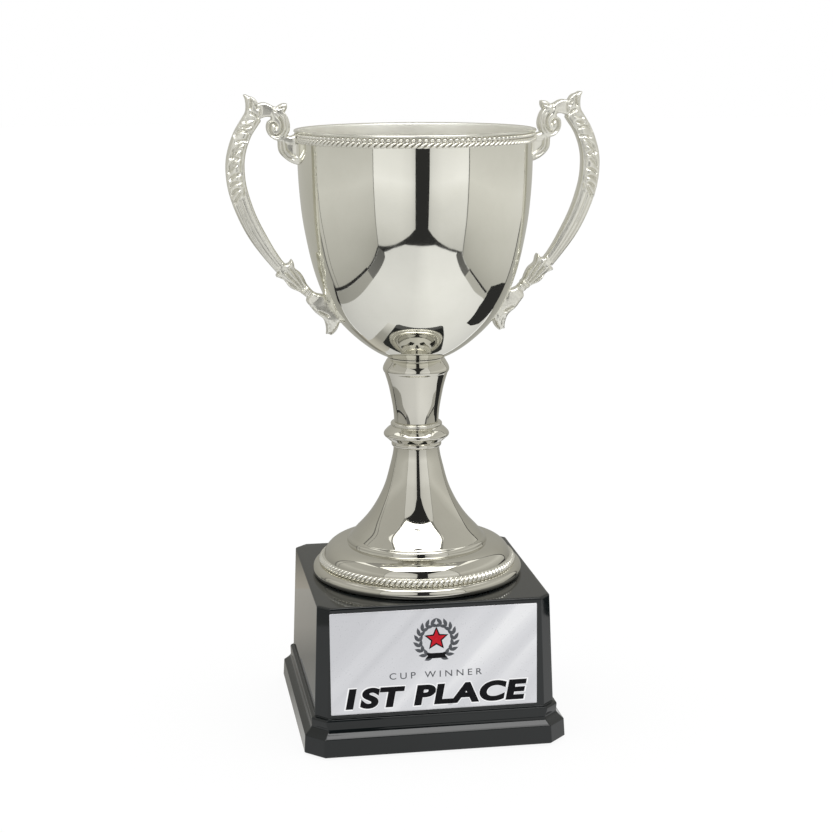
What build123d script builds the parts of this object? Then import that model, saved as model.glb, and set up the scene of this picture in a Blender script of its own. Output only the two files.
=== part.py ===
from build123d import *
import os
import math

# ---------------------------------------------------------------------------
# Two-handled loving-cup trophy on a square weighted base.
# Frame: origin at the centre of the resting face, +Z up, the nameplate faces
# -Y, the handles lie in the XZ plane.  Millimetres.
# ---------------------------------------------------------------------------

# --- base ------------------------------------------------------------------
BASE_H = 75.7            # resting face to top of the block
PLINTH_HALF = 66.9       # half width at the foot of the plinth band
PLINTH_TOP_HALF = 66.4   # half width at the top of the band
PLINTH_BAND_H = 10.0
STEP_HALF = 63.1         # small step above the cove
BLOCK_BOT_HALF = 61.2
BLOCK_TOP_HALF = 59.1
BLOCK_Z0 = 19.1
PLINTH_CH = 9.0          # chamfer on the plinth's vertical corners
BLOCK_CH = 5.8
WALL_BASE = 3.0
TOP_WALL = 3.5
RIM_GAP = 0.5            # moulding stops above the table; the felt carries it
FELT_T = 2.0
PLATE_T = 3.0            # hardboard closing plate
WEIGHT_HALF = 44.0
WEIGHT_T = 8.0
POST_XY = 47.0           # screw posts inside the shell
POST_R = 4.6

# --- nameplate -------------------------------------------------------------
NP_W, NP_H, NP_T = 104.8, 52.3, 0.5
NP_X = -1.2
NP_TAPE = 0.25
NP_Z_MID = 46.95

# --- stem ------------------------------------------------------------------
ROD_R = 3.0
ROD_CLEAR_R = 3.3
KNOP_Z0, KNOP_Z1 = 143.2, 156.2
VASE_Z1 = 190.0

# --- cup -------------------------------------------------------------------
CUP_T = 0.9
CUP_BOTTOM_R = 13.6
RIM_Z = 306.4
RIM_R = 61.0
BORDER_Z0, BORDER_Z1 = 300.0, 304.8
BORDER_R = 61.2

# --- handles ---------------------------------------------------------------
ARM_HALF_Y = 4.4
SCROLL_HALF_Y = 4.0
BRACKET_HALF_Y = 4.0
NECK_HALF_Y = 3.4
LEAF_HALF_Y = 5.2
UP_SCREW_Z = 295.0
LO_SCREW_Z = 216.0

os.makedirs("parts", exist_ok=True)


def save(node, shape):
    export_step(shape, "parts/%s.step" % node)


def P(r, z):
    return Vector(r, 0, z)


def profile_face(*segs):
    """Closed XZ face from segments: ("L", pts) or ("S", pts)."""
    edges = []
    first = None
    last = None
    for kind, pts in segs:
        pts = [P(*p) for p in pts]
        if last is not None and (pts[0] - last).length > 1e-6:
            edges.append(Line(last, pts[0]))
        if kind == "L":
            for a, b in zip(pts[:-1], pts[1:]):
                edges.append(Line(a, b))
        else:
            edges.append(Spline(*pts))
        if first is None:
            first = pts[0]
        last = pts[-1]
    if (last - first).length > 1e-6:
        edges.append(Line(last, first))
    return make_face(Wire(edges))


def lathe(*segs):
    return revolve(profile_face(*segs), axis=Axis.Z, revolution_arc=360)


def octagon(half, ch, z):
    a, b = half, half - ch
    pts = [(a, -b), (a, b), (b, a), (-b, a), (-a, b), (-a, -b), (-b, -a), (b, -a)]
    return Wire.make_polygon([Vector(x, y, z) for x, y in pts], close=True)


def oct_stack(sections):
    """Ruled body through (half, chamfer, z) sections, bottom to top."""
    return Solid.make_loft([octagon(*s) for s in sections], True)


def hexagon(af, z0, z1):
    r = af / math.sqrt(3)
    pts = [(r * math.cos(math.radians(60 * k + 30)), r * math.sin(math.radians(60 * k + 30))) for k in range(6)]
    w = Wire.make_polygon([Vector(x, y, z0) for x, y in pts], close=True)
    return extrude(make_face(w), amount=z1 - z0, dir=(0, 0, 1))


def tube(r0, r1, z0, z1):
    return lathe(("L", [(r0, z0), (r1, z0), (r1, z1), (r0, z1), (r0, z0)]))


def disc(r, z0, z1):
    return Pos(0, 0, (z0 + z1) / 2) * Cylinder(r, z1 - z0)


def cyl_between(p, d, r, l0, l1):
    """Cylinder of radius r along direction d from p, between l0 and l1."""
    pl = Plane(origin=Vector(*p) + Vector(*d).normalized() * l0, z_dir=Vector(*d))
    return pl * Pos(0, 0, (l1 - l0) / 2) * Cylinder(r, l1 - l0)


def prism_xz(pts, half_y):
    """Closed XZ outline, extruded both ways along Y."""
    w = Wire.make_polygon([P(*p) for p in pts], close=True)
    f = make_face(w)
    return extrude(f, amount=half_y, both=True)


def one(shape):
    s = shape.solids()
    s = sorted(s, key=lambda q: -q.volume)
    return s[0]


# ===========================================================================
# BASE
# ===========================================================================
z = RIM_GAP
outer = [(PLINTH_HALF, PLINTH_CH, z),
         (PLINTH_TOP_HALF + 0.05, PLINTH_CH, PLINTH_BAND_H - 0.6),
         (PLINTH_TOP_HALF - 0.2, PLINTH_CH, PLINTH_BAND_H)]
# a hollow bevel rising from the band, tightening into the upright of the step
h, zz, N = PLINTH_TOP_HALF - 0.2, PLINTH_BAND_H, 8
for k, (slope, length) in enumerate([(50, 0.8), (48, 0.8), (46, 0.8), (44, 0.8), (41, 0.8), (32, 0.45), (20, 0.45), (8, 0.45)], 1):
    h -= length * math.sin(math.radians(slope))
    zz += length * math.cos(math.radians(slope))
    outer.append((h, PLINTH_CH - (PLINTH_CH - 6.6) * k / N, zz))
outer += [(STEP_HALF - 0.2, 6.6, 17.7), (STEP_HALF - 0.7, 6.5, 18.6), (BLOCK_BOT_HALF, BLOCK_CH + 0.4, BLOCK_Z0),
          (BLOCK_TOP_HALF + 0.05, BLOCK_CH, BASE_H - 0.9), (BLOCK_TOP_HALF - 0.25, BLOCK_CH, BASE_H - 0.3),
          (BLOCK_TOP_HALF - 0.9, BLOCK_CH, BASE_H)]
base_outer = oct_stack(outer)
CAV_TOP = BASE_H - TOP_WALL
cav = oct_stack([(PLINTH_HALF - WALL_BASE, PLINTH_CH - 1, RIM_GAP - 1.0),
                 (PLINTH_HALF - WALL_BASE, PLINTH_CH - 1, FELT_T + PLATE_T)])
cav2 = oct_stack([(59.6, BLOCK_CH, FELT_T + PLATE_T - 0.01),
                  (BLOCK_BOT_HALF - WALL_BASE - 0.3, BLOCK_CH, BLOCK_Z0 - 4),
                  (BLOCK_TOP_HALF - WALL_BASE, BLOCK_CH - 1, CAV_TOP)])
base_shell = base_outer - cav - cav2
for sx in (-1, 1):
    for sy in (-1, 1):
        post = Pos(sx * POST_XY, sy * POST_XY, 0) * disc(POST_R, FELT_T + PLATE_T, CAV_TOP + 0.5)
        base_shell = base_shell + post
base_shell = base_shell + disc(14.0, CAV_TOP - 3.0, CAV_TOP + 0.5)
base_shell = base_shell - disc(ROD_CLEAR_R, CAV_TOP - 4.0, BASE_H + 1)
for sx in (-1, 1):
    for sy in (-1, 1):
        base_shell = base_shell - Pos(sx * POST_XY, sy * POST_XY, 0) * disc(1.5, FELT_T + PLATE_T - 1, FELT_T + PLATE_T + 12)
base_shell = one(base_shell)
save("base_shell", base_shell)

# felt pad and closing plate, both inside the plinth rim
felt = oct_stack([(PLINTH_HALF - WALL_BASE - 0.15, PLINTH_CH - 1, 0), (PLINTH_HALF - WALL_BASE - 0.15, PLINTH_CH - 1, FELT_T)])
save("base_felt", felt)
plate = oct_stack([(PLINTH_HALF - WALL_BASE - 0.1, PLINTH_CH - 1, FELT_T),
                   (PLINTH_HALF - WALL_BASE - 0.1, PLINTH_CH - 1, FELT_T + PLATE_T)])
screws = []
for sx in (-1, 1):
    for sy in (-1, 1):
        loc = Pos(sx * POST_XY, sy * POST_XY, 0)
        sc = lathe(("L", [(0, FELT_T), (2.9, FELT_T), (1.5, FELT_T + 1.5), (1.5, FELT_T + PLATE_T + 9.5), (0, FELT_T + PLATE_T + 11.5), (0, FELT_T)]))
        plate = plate - loc * lathe(("L", [(0, FELT_T), (2.9, FELT_T), (1.5, FELT_T + 1.5), (1.5, FELT_T + PLATE_T + 1), (0, FELT_T + PLATE_T + 1), (0, FELT_T)]))
        # cross recess
        sl = (loc * Pos(0, 0, FELT_T + 0.35) * Box(3.2, 0.6, 0.7)) + (loc * Pos(0, 0, FELT_T + 0.35) * Box(0.6, 3.2, 0.7))
        screws.append(one(loc * sc - sl))
save("base_plate", one(plate))
save("base_plate_screws", Compound(children=screws))

# weight glued on the closing plate, with lightening hole for the rod's end
wz0 = FELT_T + PLATE_T
weight = Pos(0, 0, wz0 + WEIGHT_T / 2) * Box(2 * WEIGHT_HALF, 2 * WEIGHT_HALF, WEIGHT_T)
weight = chamfer(weight.edges().filter_by(Axis.Z), 9.0)
weight = weight - disc(12, wz0 - 1, wz0 + WEIGHT_T + 1)
save("base_weight", one(weight))

# ===========================================================================
# CLAMP: tie rod, washers, nuts
# ===========================================================================
LW_Z1 = CAV_TOP - 3.0               # underside of the boss
base_washer = tube(ROD_CLEAR_R, 12.0, LW_Z1 - 1.6, LW_Z1)
save("base_washer", one(base_washer))
lock = tube(ROD_CLEAR_R, 5.6, LW_Z1 - 3.2, LW_Z1 - 1.6) - Pos(4.6, 0, LW_Z1 - 2.4) * Box(4, 0.8, 2)
save("lock_washer", one(lock))
NUT_Z1 = LW_Z1 - 3.2
nut = hexagon(10.0, NUT_Z1 - 5.0, NUT_Z1)
nut = nut & lathe(("L", [(0, NUT_Z1 - 5.0), (5.0, NUT_Z1 - 5.0), (6.2, NUT_Z1 - 4.3), (6.2, NUT_Z1 - 0.7), (5.0, NUT_Z1), (0, NUT_Z1), (0, NUT_Z1 - 5.0)]))
nut = nut - disc(ROD_R, NUT_Z1 - 6, NUT_Z1 + 1)
save("base_nut", one(nut))
ROD_Z0 = NUT_Z1 - 8.0
ROD_Z1 = 198.4
rod = disc(ROD_R, ROD_Z0, ROD_Z1)
rod = chamfer(rod.edges(), 0.6)
save("tie_rod", one(rod))

# ===========================================================================
# STEM: foot (trumpet), foot border, knop, vase
# ===========================================================================
trumpet = [(11.85, 143.2), (12.15, 140), (13.2, 135), (14.45, 130), (15.8, 125), (17.6, 120), (19.45, 116),
           (21.6, 112), (24.15, 108), (27.2, 104), (29.9, 101), (32.7, 98), (34.9, 95.4)]
foot_face = profile_face(
    ("L", [(ROD_CLEAR_R, 143.2), (11.85, 143.2)]),
    ("L", trumpet),
    ("L", [(34.9, 95.4), (35.9, 94.8), (36.4, 93.7)]),
    ("L", [(36.4, 93.7), (36.7, 92.4)]),
    ("L", [(36.7, 92.4), (39.0, 92.45), (41.4, 92.35), (43.8, 91.7), (46.0, 90.3), (47.7, 88.4), (48.55, 86.7), (48.8, 85.3)]),
    ("L", [(48.8, 85.3), (49.0, 85.2), (49.0, 81.4), (51.3, 81.4)]),
    ("L", [(51.3, 81.4), (53.4, 80.95), (54.55, 79.9), (54.95, 78.4), (54.8, 76.9), (53.7, BASE_H)]),
    ("L", [(53.7, BASE_H), (50.6, BASE_H), (50.6, 78.6), (47.2, 79.4), (47.2, 85.2), (46.2, 87.4), (44.2, 89.1),
           (41.6, 90.1), (38.4, 90.4), (36.2, 90.9), (35.0, 92.0), (34.0, 93.4)]),
    ("L", [(34.0, 93.4), (31.6, 96.4), (28.6, 99.6), (25.9, 102.6), (22.9, 106.8), (20.2, 111.0), (18.1, 115.0),
           (16.3, 119.2), (14.6, 124.4), (13.2, 129.5), (11.9, 134.6), (11.0, 139.6), (10.7, 141.4)]),
    ("L", [(10.7, 141.4), (ROD_CLEAR_R, 141.4), (ROD_CLEAR_R, 143.2)]),
)
stem_foot = revolve(foot_face, axis=Axis.Z)
save("stem_foot", one(stem_foot))

foot_border = lathe(("L", [(49.0, 81.4), (49.0, 85.2)]),
                    ("S", [(49.0, 85.2), (50.3, 84.9), (51.1, 83.9), (51.3, 82.8), (50.8, 81.4)]),
                    ("L", [(50.8, 81.4), (49.0, 81.4)]))
save("foot_rope_border", one(foot_border))

knop = lathe(("L", [(ROD_CLEAR_R, KNOP_Z0), (12.3, KNOP_Z0)]),
             ("S", [(12.3, KNOP_Z0), (12.8, 143.6), (13.0, 144.4), (12.8, 145.3), (13.1, 145.9)]),
             ("S", [(13.1, 145.9), (15.0, 147.3), (16.75, 148.9)]),
             ("S", [(16.75, 148.9), (17.0, 149.65), (16.85, 150.5)]),
             ("S", [(16.85, 150.5), (15.6, 152.0), (13.6, 153.6)]),
             ("S", [(13.6, 153.6), (13.2, 154.2), (13.35, 155.0), (13.05, 155.8), (12.2, KNOP_Z1)]),
             ("L", [(12.2, KNOP_Z1), (ROD_CLEAR_R, KNOP_Z1), (ROD_CLEAR_R, KNOP_Z0)]))
save("knop_ring", one(knop))

vase_pts = [(11.5, KNOP_Z1), (11.65, 159), (12.05, 163), (12.7, 167), (13.45, 171), (14.3, 175), (15.45, 179), (16.45, 182.2)]
vase = lathe(("S", vase_pts),
             ("S", [(16.45, 182.2), (17.0, 183.1), (17.15, 184.2), (16.95, 185.2)]),
             ("L", [(16.95, 185.2), (16.1, 187.0), (15.2, 188.4), (14.7, 189.4)]),
             ("L", [(14.7, 189.4), (14.3, VASE_Z1)]),
             ("L", [(14.3, VASE_Z1), (ROD_CLEAR_R, VASE_Z1), (ROD_CLEAR_R, 188.4), (12.9, 188.4), (14.9, 184.6)]),
             ("S", [(14.9, 184.6), (13.7, 179.2), (12.7, 175), (11.85, 171), (11.1, 167), (10.45, 163), (10.0, 159), (9.9, KNOP_Z1)]),
             ("L", [(9.9, KNOP_Z1), (11.5, KNOP_Z1)]))
save("stem_vase", one(vase))

# ===========================================================================
# CUP
# ===========================================================================
cup_out = [(CUP_BOTTOM_R, VASE_Z1), (16.6, 191.0), (20.2, 193.0), (24.9, 196.0), (30.0, 200.0), (35.3, 205.0),
           (40.6, 211.0), (45.0, 218.0), (48.25, 225.0), (50.75, 232.0), (53.06, 240.0), (55.19, 250.0),
           (57.27, 262.0), (58.13, 270.0), (58.9, 280.0), (59.25, 290.0), (59.3, BORDER_Z0)]


def offset_in(pts, t):
    out = []
    n = len(pts)
    for i in range(n):
        a = pts[max(i - 1, 0)]
        b = pts[min(i + 1, n - 1)]
        dx, dz = b[0] - a[0], b[1] - a[1]
        L = math.hypot(dx, dz)
        out.append((pts[i][0] - dz / L * t, pts[i][1] + dx / L * t))
    return out


cup_in = offset_in(cup_out, CUP_T)
cup_in[0] = (CUP_BOTTOM_R - 0.4, VASE_Z1 + CUP_T)
cup_in[-1] = (59.3 - CUP_T, BORDER_Z0)
cup_face = profile_face(
    ("L", [(ROD_CLEAR_R, VASE_Z1), (CUP_BOTTOM_R, VASE_Z1)]),
    ("L", cup_out),
    ("L", [(59.3, BORDER_Z0), (59.3, BORDER_Z1)]),
    ("L", [(59.3, BORDER_Z1), (60.3, BORDER_Z1)]),
    ("L", [(60.3, BORDER_Z1), (60.95, 305.2), (RIM_R, 305.8), (60.5, RIM_Z - 0.05), (59.9, RIM_Z)]),
    ("L", [(59.9, RIM_Z), (58.9, 306.1), (58.4, 305.2)]),
    ("L", [(58.4, 305.2), (58.4, BORDER_Z0)]),
    ("L", list(reversed(cup_in))),
    ("L", [(CUP_BOTTOM_R - 0.4, VASE_Z1 + CUP_T), (ROD_CLEAR_R, VASE_Z1 + CUP_T), (ROD_CLEAR_R, VASE_Z1)]),
)
cup = revolve(cup_face, axis=Axis.Z)
cup_solid = lathe(("L", [(0, VASE_Z1), (CUP_BOTTOM_R, VASE_Z1)]), ("L", cup_out),
                  ("L", [(59.3, BORDER_Z0), (59.3, 312.0), (0, 312.0), (0, VASE_Z1)]))
cup_air = lathe(("L", [(0, VASE_Z1 + CUP_T), (CUP_BOTTOM_R - 0.4, VASE_Z1 + CUP_T)]),
                ("L", cup_in), ("L", [(58.4, BORDER_Z0), (58.4, 312.0), (0, 312.0), (0, VASE_Z1 + CUP_T)]))

border = lathe(("L", [(59.3, BORDER_Z0), (59.3, BORDER_Z1), (60.3, BORDER_Z1)]),
               ("S", [(60.3, BORDER_Z1), (60.9, 304.2), (60.7, 303.3), (60.5, 302.9)]),
               ("S", [(60.5, 302.9), (61.1, 302.2), (BORDER_R, 301.4), (60.9, 300.6), (60.2, BORDER_Z0)]),
               ("L", [(60.2, BORDER_Z0), (59.3, BORDER_Z0)]))
border_block = tube(58.0, BORDER_R + 0.05, BORDER_Z0 - 0.05, RIM_Z + 0.2)
save("rim_rope_border", one(border))

# bowl-side washer and acorn nut on the tie rod
bz = VASE_Z1 + CUP_T
bowl_washer = tube(ROD_CLEAR_R, 9.0, bz, bz + 1.2)
save("bowl_washer", one(bowl_washer))
az = bz + 1.2
acorn = hexagon(10.0, az, az + 5.0) & lathe(("L", [(0, az), (5.0, az), (6.2, az + 0.7), (6.2, az + 4.3), (5.2, az + 5.0), (0, az + 5.0), (0, az)]))
acorn = acorn + lathe(("L", [(0, az + 4.8), (4.7, az + 4.8)]), ("S", [(4.7, az + 4.8), (4.3, az + 6.9), (2.6, az + 8.7), (0, az + 9.4)]), ("L", [(0, az + 9.4), (0, az + 4.8)]))
acorn = acorn - disc(ROD_R, az - 1, ROD_Z1)
save("acorn_nut", one(acorn))

# ===========================================================================
# HANDLES (outline of the +X handle in XZ; the other is its mirror)
# ===========================================================================
arm_out = [(84.8, 315.6), (87.0, 312.0), (90.0, 307.3), (92.2, 302.6), (94.0, 297.2), (95.1, 292.0), (95.4, 286.5),
           (95.0, 280.5), (93.6, 274.0), (91.4, 266.8), (88.0, 259.4), (84.2, 252.4), (79.9, 246.2), (75.0, 240.0),
           (70.6, 234.8)]
arm_in = [(66.9, 239.6), (71.3, 246.2), (75.3, 253.4), (78.8, 260.2), (81.7, 267.0), (83.9, 273.8), (85.4, 280.0),
          (86.0, 286.5), (85.9, 291.5), (85.0, 296.5), (83.6, 300.8), (81.8, 304.6), (79.8, 307.6), (77.3, 311.2)]
arm_face = profile_face(("S", arm_out), ("L", [arm_out[-1], arm_in[0]]), ("S", arm_in), ("L", [arm_in[-1], arm_out[0]]))
arm = extrude(arm_face, amount=ARM_HALF_Y, both=True)
arm_edges = [e for e in arm.edges() if abs(abs(e.center().Y) - ARM_HALF_Y) < 0.01 and e.length > 40]
arm = chamfer(arm_edges, 1.6)

crest = prism_xz([(84.9, 315.6), (84.5, 319.4), (85.4, 324.0), (82.2, 321.8), (79.8, 319.8), (77.2, 319.2), (72.0, 318.0),
                  (69.8, 317.5), (67.0, 318.6), (64.6, 319.0), (64.6, 316.8), (64.6, 313.4), (66.2, 312.4),
                  (72.6, 312.4), (77.4, 311.1), (80.2, 307.0), (86.6, 312.4)], 3.8)
scroll_c = (69.9, 307.3)
scroll = Pos(scroll_c[0], 0, scroll_c[1]) * Rot(90, 0, 0) * Cylinder(6.3, 2 * SCROLL_HALF_Y)
bracket = prism_xz([(65.2, 304.5), (61.0, 303.4), (57.0, 303.4), (57.0, 289.2), (60.0, 289.0), (63.4, 290.2),
                    (66.9, 293.0), (68.7, 297.0), (69.3, 300.6), (71.0, 303.0)], BRACKET_HALF_Y)
calyx = prism_xz([(71.6, 236.0), (70.9, 234.0), (69.5, 232.3), (67.3, 231.0), (64.4, 227.7), (60.8, 225.6),
                  (58.2, 223.0), (55.8, 220.6), (54.8, 218.0), (50.0, 219.0), (50.0, 223.4), (51.7, 224.5),
                  (53.4, 226.0), (55.6, 228.6), (56.6, 231.6), (59.0, 234.8), (61.8, 237.3), (62.2, 239.5),
                  (63.2, 241.9), (65.6, 240.0), (66.9, 239.8), (68.5, 241.5)], NECK_HALF_Y)
leaf = prism_xz([(55.8, 220.6), (54.8, 218.0), (52.6, 215.3), (49.2, 212.0), (46.4, 208.6), (46.2, 206.0),
                 (46.6, 202.9), (43.9, 202.3), (41.0, 204.8), (38.0, 207.6), (34.0, 210.0), (40.0, 222.0), (46.0, 223.2),
                 (51.0, 223.4)], LEAF_HALF_Y)
handle = arm + crest + scroll + bracket + calyx + leaf
handle = handle - cup_solid - border_block
handle = one(handle)

# screws from inside the cup into the two handle pads
lo_r = 43.79
lo_d = Vector(0.846, 0, -0.533)
up_p, up_d = (59.3, 0, UP_SCREW_Z), Vector(1, 0, 0)
lo_p = (lo_r, 0, LO_SCREW_Z)


def screw_set(p, d, depth):
    hole_wall = cyl_between(p, d, 2.2, -3.0, 0.6)
    hole_handle = cyl_between(p, d, 2.0, -3.0, depth)
    washer = (cyl_between(p, d, 4.2, -2.0, 2.0) & cup_air) - cyl_between(p, d, 2.2, -3, 3)
    head = cyl_between(p, d, 3.6, -4.4, -2.0)
    head = chamfer(head.edges().sort_by_distance(Vector(*p))[-1:], 0.8)
    shank = cyl_between(p, d, 2.0, -2.1, depth - 0.4)
    recess = cyl_between(p, d, 1.3, -4.6, -3.4)
    return hole_wall, hole_handle, one(washer), one((head + shank) - recess)


hw1, hh1, wa1, sc1 = screw_set(up_p, up_d, 6.4)
hw2, hh2, wa2, sc2 = screw_set(lo_p, lo_d, 4.6)
handle_r = one(handle - hh1 - hh2)
cup = cup - hw1 - hw2 - mirror(hw1, Plane.YZ) - mirror(hw2, Plane.YZ)
save("cup_bowl", one(cup))
save("handle_right", handle_r)
save("handle_left", one(mirror(handle_r, Plane.YZ)))
save("handle_washers", Compound(children=[wa1, wa2, one(mirror(wa1, Plane.YZ)), one(mirror(wa2, Plane.YZ))]))
save("handle_screws", Compound(children=[sc1, sc2, one(mirror(sc1, Plane.YZ)), one(mirror(sc2, Plane.YZ))]))

# ===========================================================================
# NAMEPLATE on the front face (the block's sides have a little draft)
# ===========================================================================
drop = BLOCK_BOT_HALF - (BLOCK_TOP_HALF + 0.05)
rise = (BASE_H - 0.9) - BLOCK_Z0
ang = math.atan2(drop, rise)
y_mid = -(BLOCK_BOT_HALF - drop * (NP_Z_MID - BLOCK_Z0) / rise)
face_pl = Plane(origin=(NP_X, y_mid, NP_Z_MID), x_dir=(1, 0, 0), z_dir=(0, -math.cos(ang), math.sin(ang)))
tape = face_pl * Pos(0, 0, NP_TAPE / 2) * Box(NP_W - 4, NP_H - 4, NP_TAPE)
npl = face_pl * Pos(0, 0, NP_TAPE + NP_T / 2) * Box(NP_W, NP_H, NP_T)
npl = one(npl)
save("nameplate_tape", one(tape))
save("nameplate", npl)
print("parts written")
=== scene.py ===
import bpy
import bmesh
import math
import numpy as np
from mathutils import Matrix, Vector


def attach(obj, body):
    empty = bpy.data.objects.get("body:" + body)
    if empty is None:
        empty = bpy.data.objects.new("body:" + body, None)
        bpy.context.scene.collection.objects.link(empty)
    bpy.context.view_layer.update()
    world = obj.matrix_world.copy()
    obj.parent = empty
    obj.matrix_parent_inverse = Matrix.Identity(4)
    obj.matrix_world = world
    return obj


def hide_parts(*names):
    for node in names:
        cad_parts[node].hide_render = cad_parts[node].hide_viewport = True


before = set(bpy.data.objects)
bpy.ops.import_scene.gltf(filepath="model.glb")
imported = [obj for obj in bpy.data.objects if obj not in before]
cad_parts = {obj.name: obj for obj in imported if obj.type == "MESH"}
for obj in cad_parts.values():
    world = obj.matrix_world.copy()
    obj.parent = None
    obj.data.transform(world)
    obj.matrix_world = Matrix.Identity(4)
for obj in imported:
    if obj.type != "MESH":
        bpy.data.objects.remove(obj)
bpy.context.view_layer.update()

MM = 0.001

# ---------------------------------------------------------------------------
# small maths helpers
# ---------------------------------------------------------------------------


def cubic(pts, n):
    """Natural cubic spline through pts, chord-length parameter, n samples."""
    P = np.array(pts, float)
    if len(P) == 2:
        t = np.linspace(0, 1, n)[:, None]
        return P[0] * (1 - t) + P[1] * t
    d = np.r_[0, np.cumsum(np.hypot(*(P[1:] - P[:-1]).T))]
    m = len(P)
    A = np.zeros((m, m))
    B = np.zeros((m, 2))
    A[0, 0] = A[-1, -1] = 1
    h = np.diff(d)
    for i in range(1, m - 1):
        A[i, i - 1], A[i, i], A[i, i + 1] = h[i - 1], 2 * (h[i - 1] + h[i]), h[i]
        B[i] = 6 * ((P[i + 1] - P[i]) / h[i] - (P[i] - P[i - 1]) / h[i - 1])
    M = np.linalg.solve(A, B)
    t = np.linspace(0, d[-1], n)
    k = np.clip(np.searchsorted(d, t, side="right") - 1, 0, m - 2)
    a = (d[k + 1] - t)[:, None]
    b = (t - d[k])[:, None]
    hk = h[k][:, None]
    return (M[k] * a ** 3 + M[k + 1] * b ** 3) / (6 * hk) + (P[k] / hk - M[k] * hk / 6) * a + (P[k + 1] / hk - M[k + 1] * hk / 6) * b


def fair(pts, n, lam):
    """Dense curve near pts with its third differences kept small."""
    C = cubic(pts, n)
    D = np.diff(np.eye(n), 3, axis=0)
    W = np.ones(n)
    W[0] = W[-1] = 1e4
    A = np.diag(W) + lam * D.T @ D
    return np.linalg.solve(A, C * W[:, None])


def new_mesh_object(name, verts, faces, smooth=True, sharp=None):
    me = bpy.data.meshes.new(name)
    me.from_pydata([tuple(v) for v in np.asarray(verts, float)], [], [tuple(int(i) for i in f) for f in faces])
    me.validate()
    me.update()
    if smooth:
        me.polygons.foreach_set("use_smooth", [True] * len(me.polygons))
        if sharp is not None:
            me.set_sharp_from_angle(angle=math.radians(sharp))
    ob = bpy.data.objects.new(name, me)
    bpy.context.scene.collection.objects.link(ob)
    return ob


def fix_normals(ob):
    bm = bmesh.new()
    bm.from_mesh(ob.data)
    bmesh.ops.recalc_face_normals(bm, faces=bm.faces)
    bm.to_mesh(ob.data)
    bm.free()
    ob.data.update()


def profile(*segs):
    """Closed (r, z) outline from ("L", pts) and ("S", pts, n[, lam]) parts."""
    out = []
    for s in segs:
        if s[0] == "L":
            pts = [tuple(p) for p in s[1]]
        elif len(s) > 3:
            pts = [tuple(p) for p in fair(s[1], s[2], s[3])]
        else:
            pts = [tuple(p) for p in cubic(s[1], s[2])]
        for p in pts:
            if not out or math.hypot(p[0] - out[-1][0], p[1] - out[-1][1]) > 1e-4:
                out.append(p)
    if math.hypot(out[0][0] - out[-1][0], out[0][1] - out[-1][1]) < 1e-4:
        out.pop()
    return out


def lathe(name, prof, seg=256, sharp=32):
    prof = np.array(prof, float) * MM
    n = len(prof)
    th = np.arange(seg) * 2 * math.pi / seg
    V = np.zeros((n, seg, 3))
    V[:, :, 0] = prof[:, 0][:, None] * np.cos(th)
    V[:, :, 1] = prof[:, 0][:, None] * np.sin(th)
    V[:, :, 2] = prof[:, 1][:, None]
    F = []
    for i in range(n):
        j = (i + 1) % n
        a = i * seg
        b = j * seg
        for k in range(seg):
            l = (k + 1) % seg
            F.append((a + k, a + l, b + l, b + k))
    ob = new_mesh_object(name, V.reshape(-1, 3), F, sharp=None)
    bm = bmesh.new()
    bm.from_mesh(ob.data)
    bmesh.ops.remove_doubles(bm, verts=bm.verts, dist=1e-7)
    bmesh.ops.recalc_face_normals(bm, faces=bm.faces)
    bm.to_mesh(ob.data)
    bm.free()
    ob.data.polygons.foreach_set("use_smooth", [True] * len(ob.data.polygons))
    ob.data.set_sharp_from_angle(angle=math.radians(sharp))
    return ob


# ---------------------------------------------------------------------------
# materials
# ---------------------------------------------------------------------------


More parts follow.
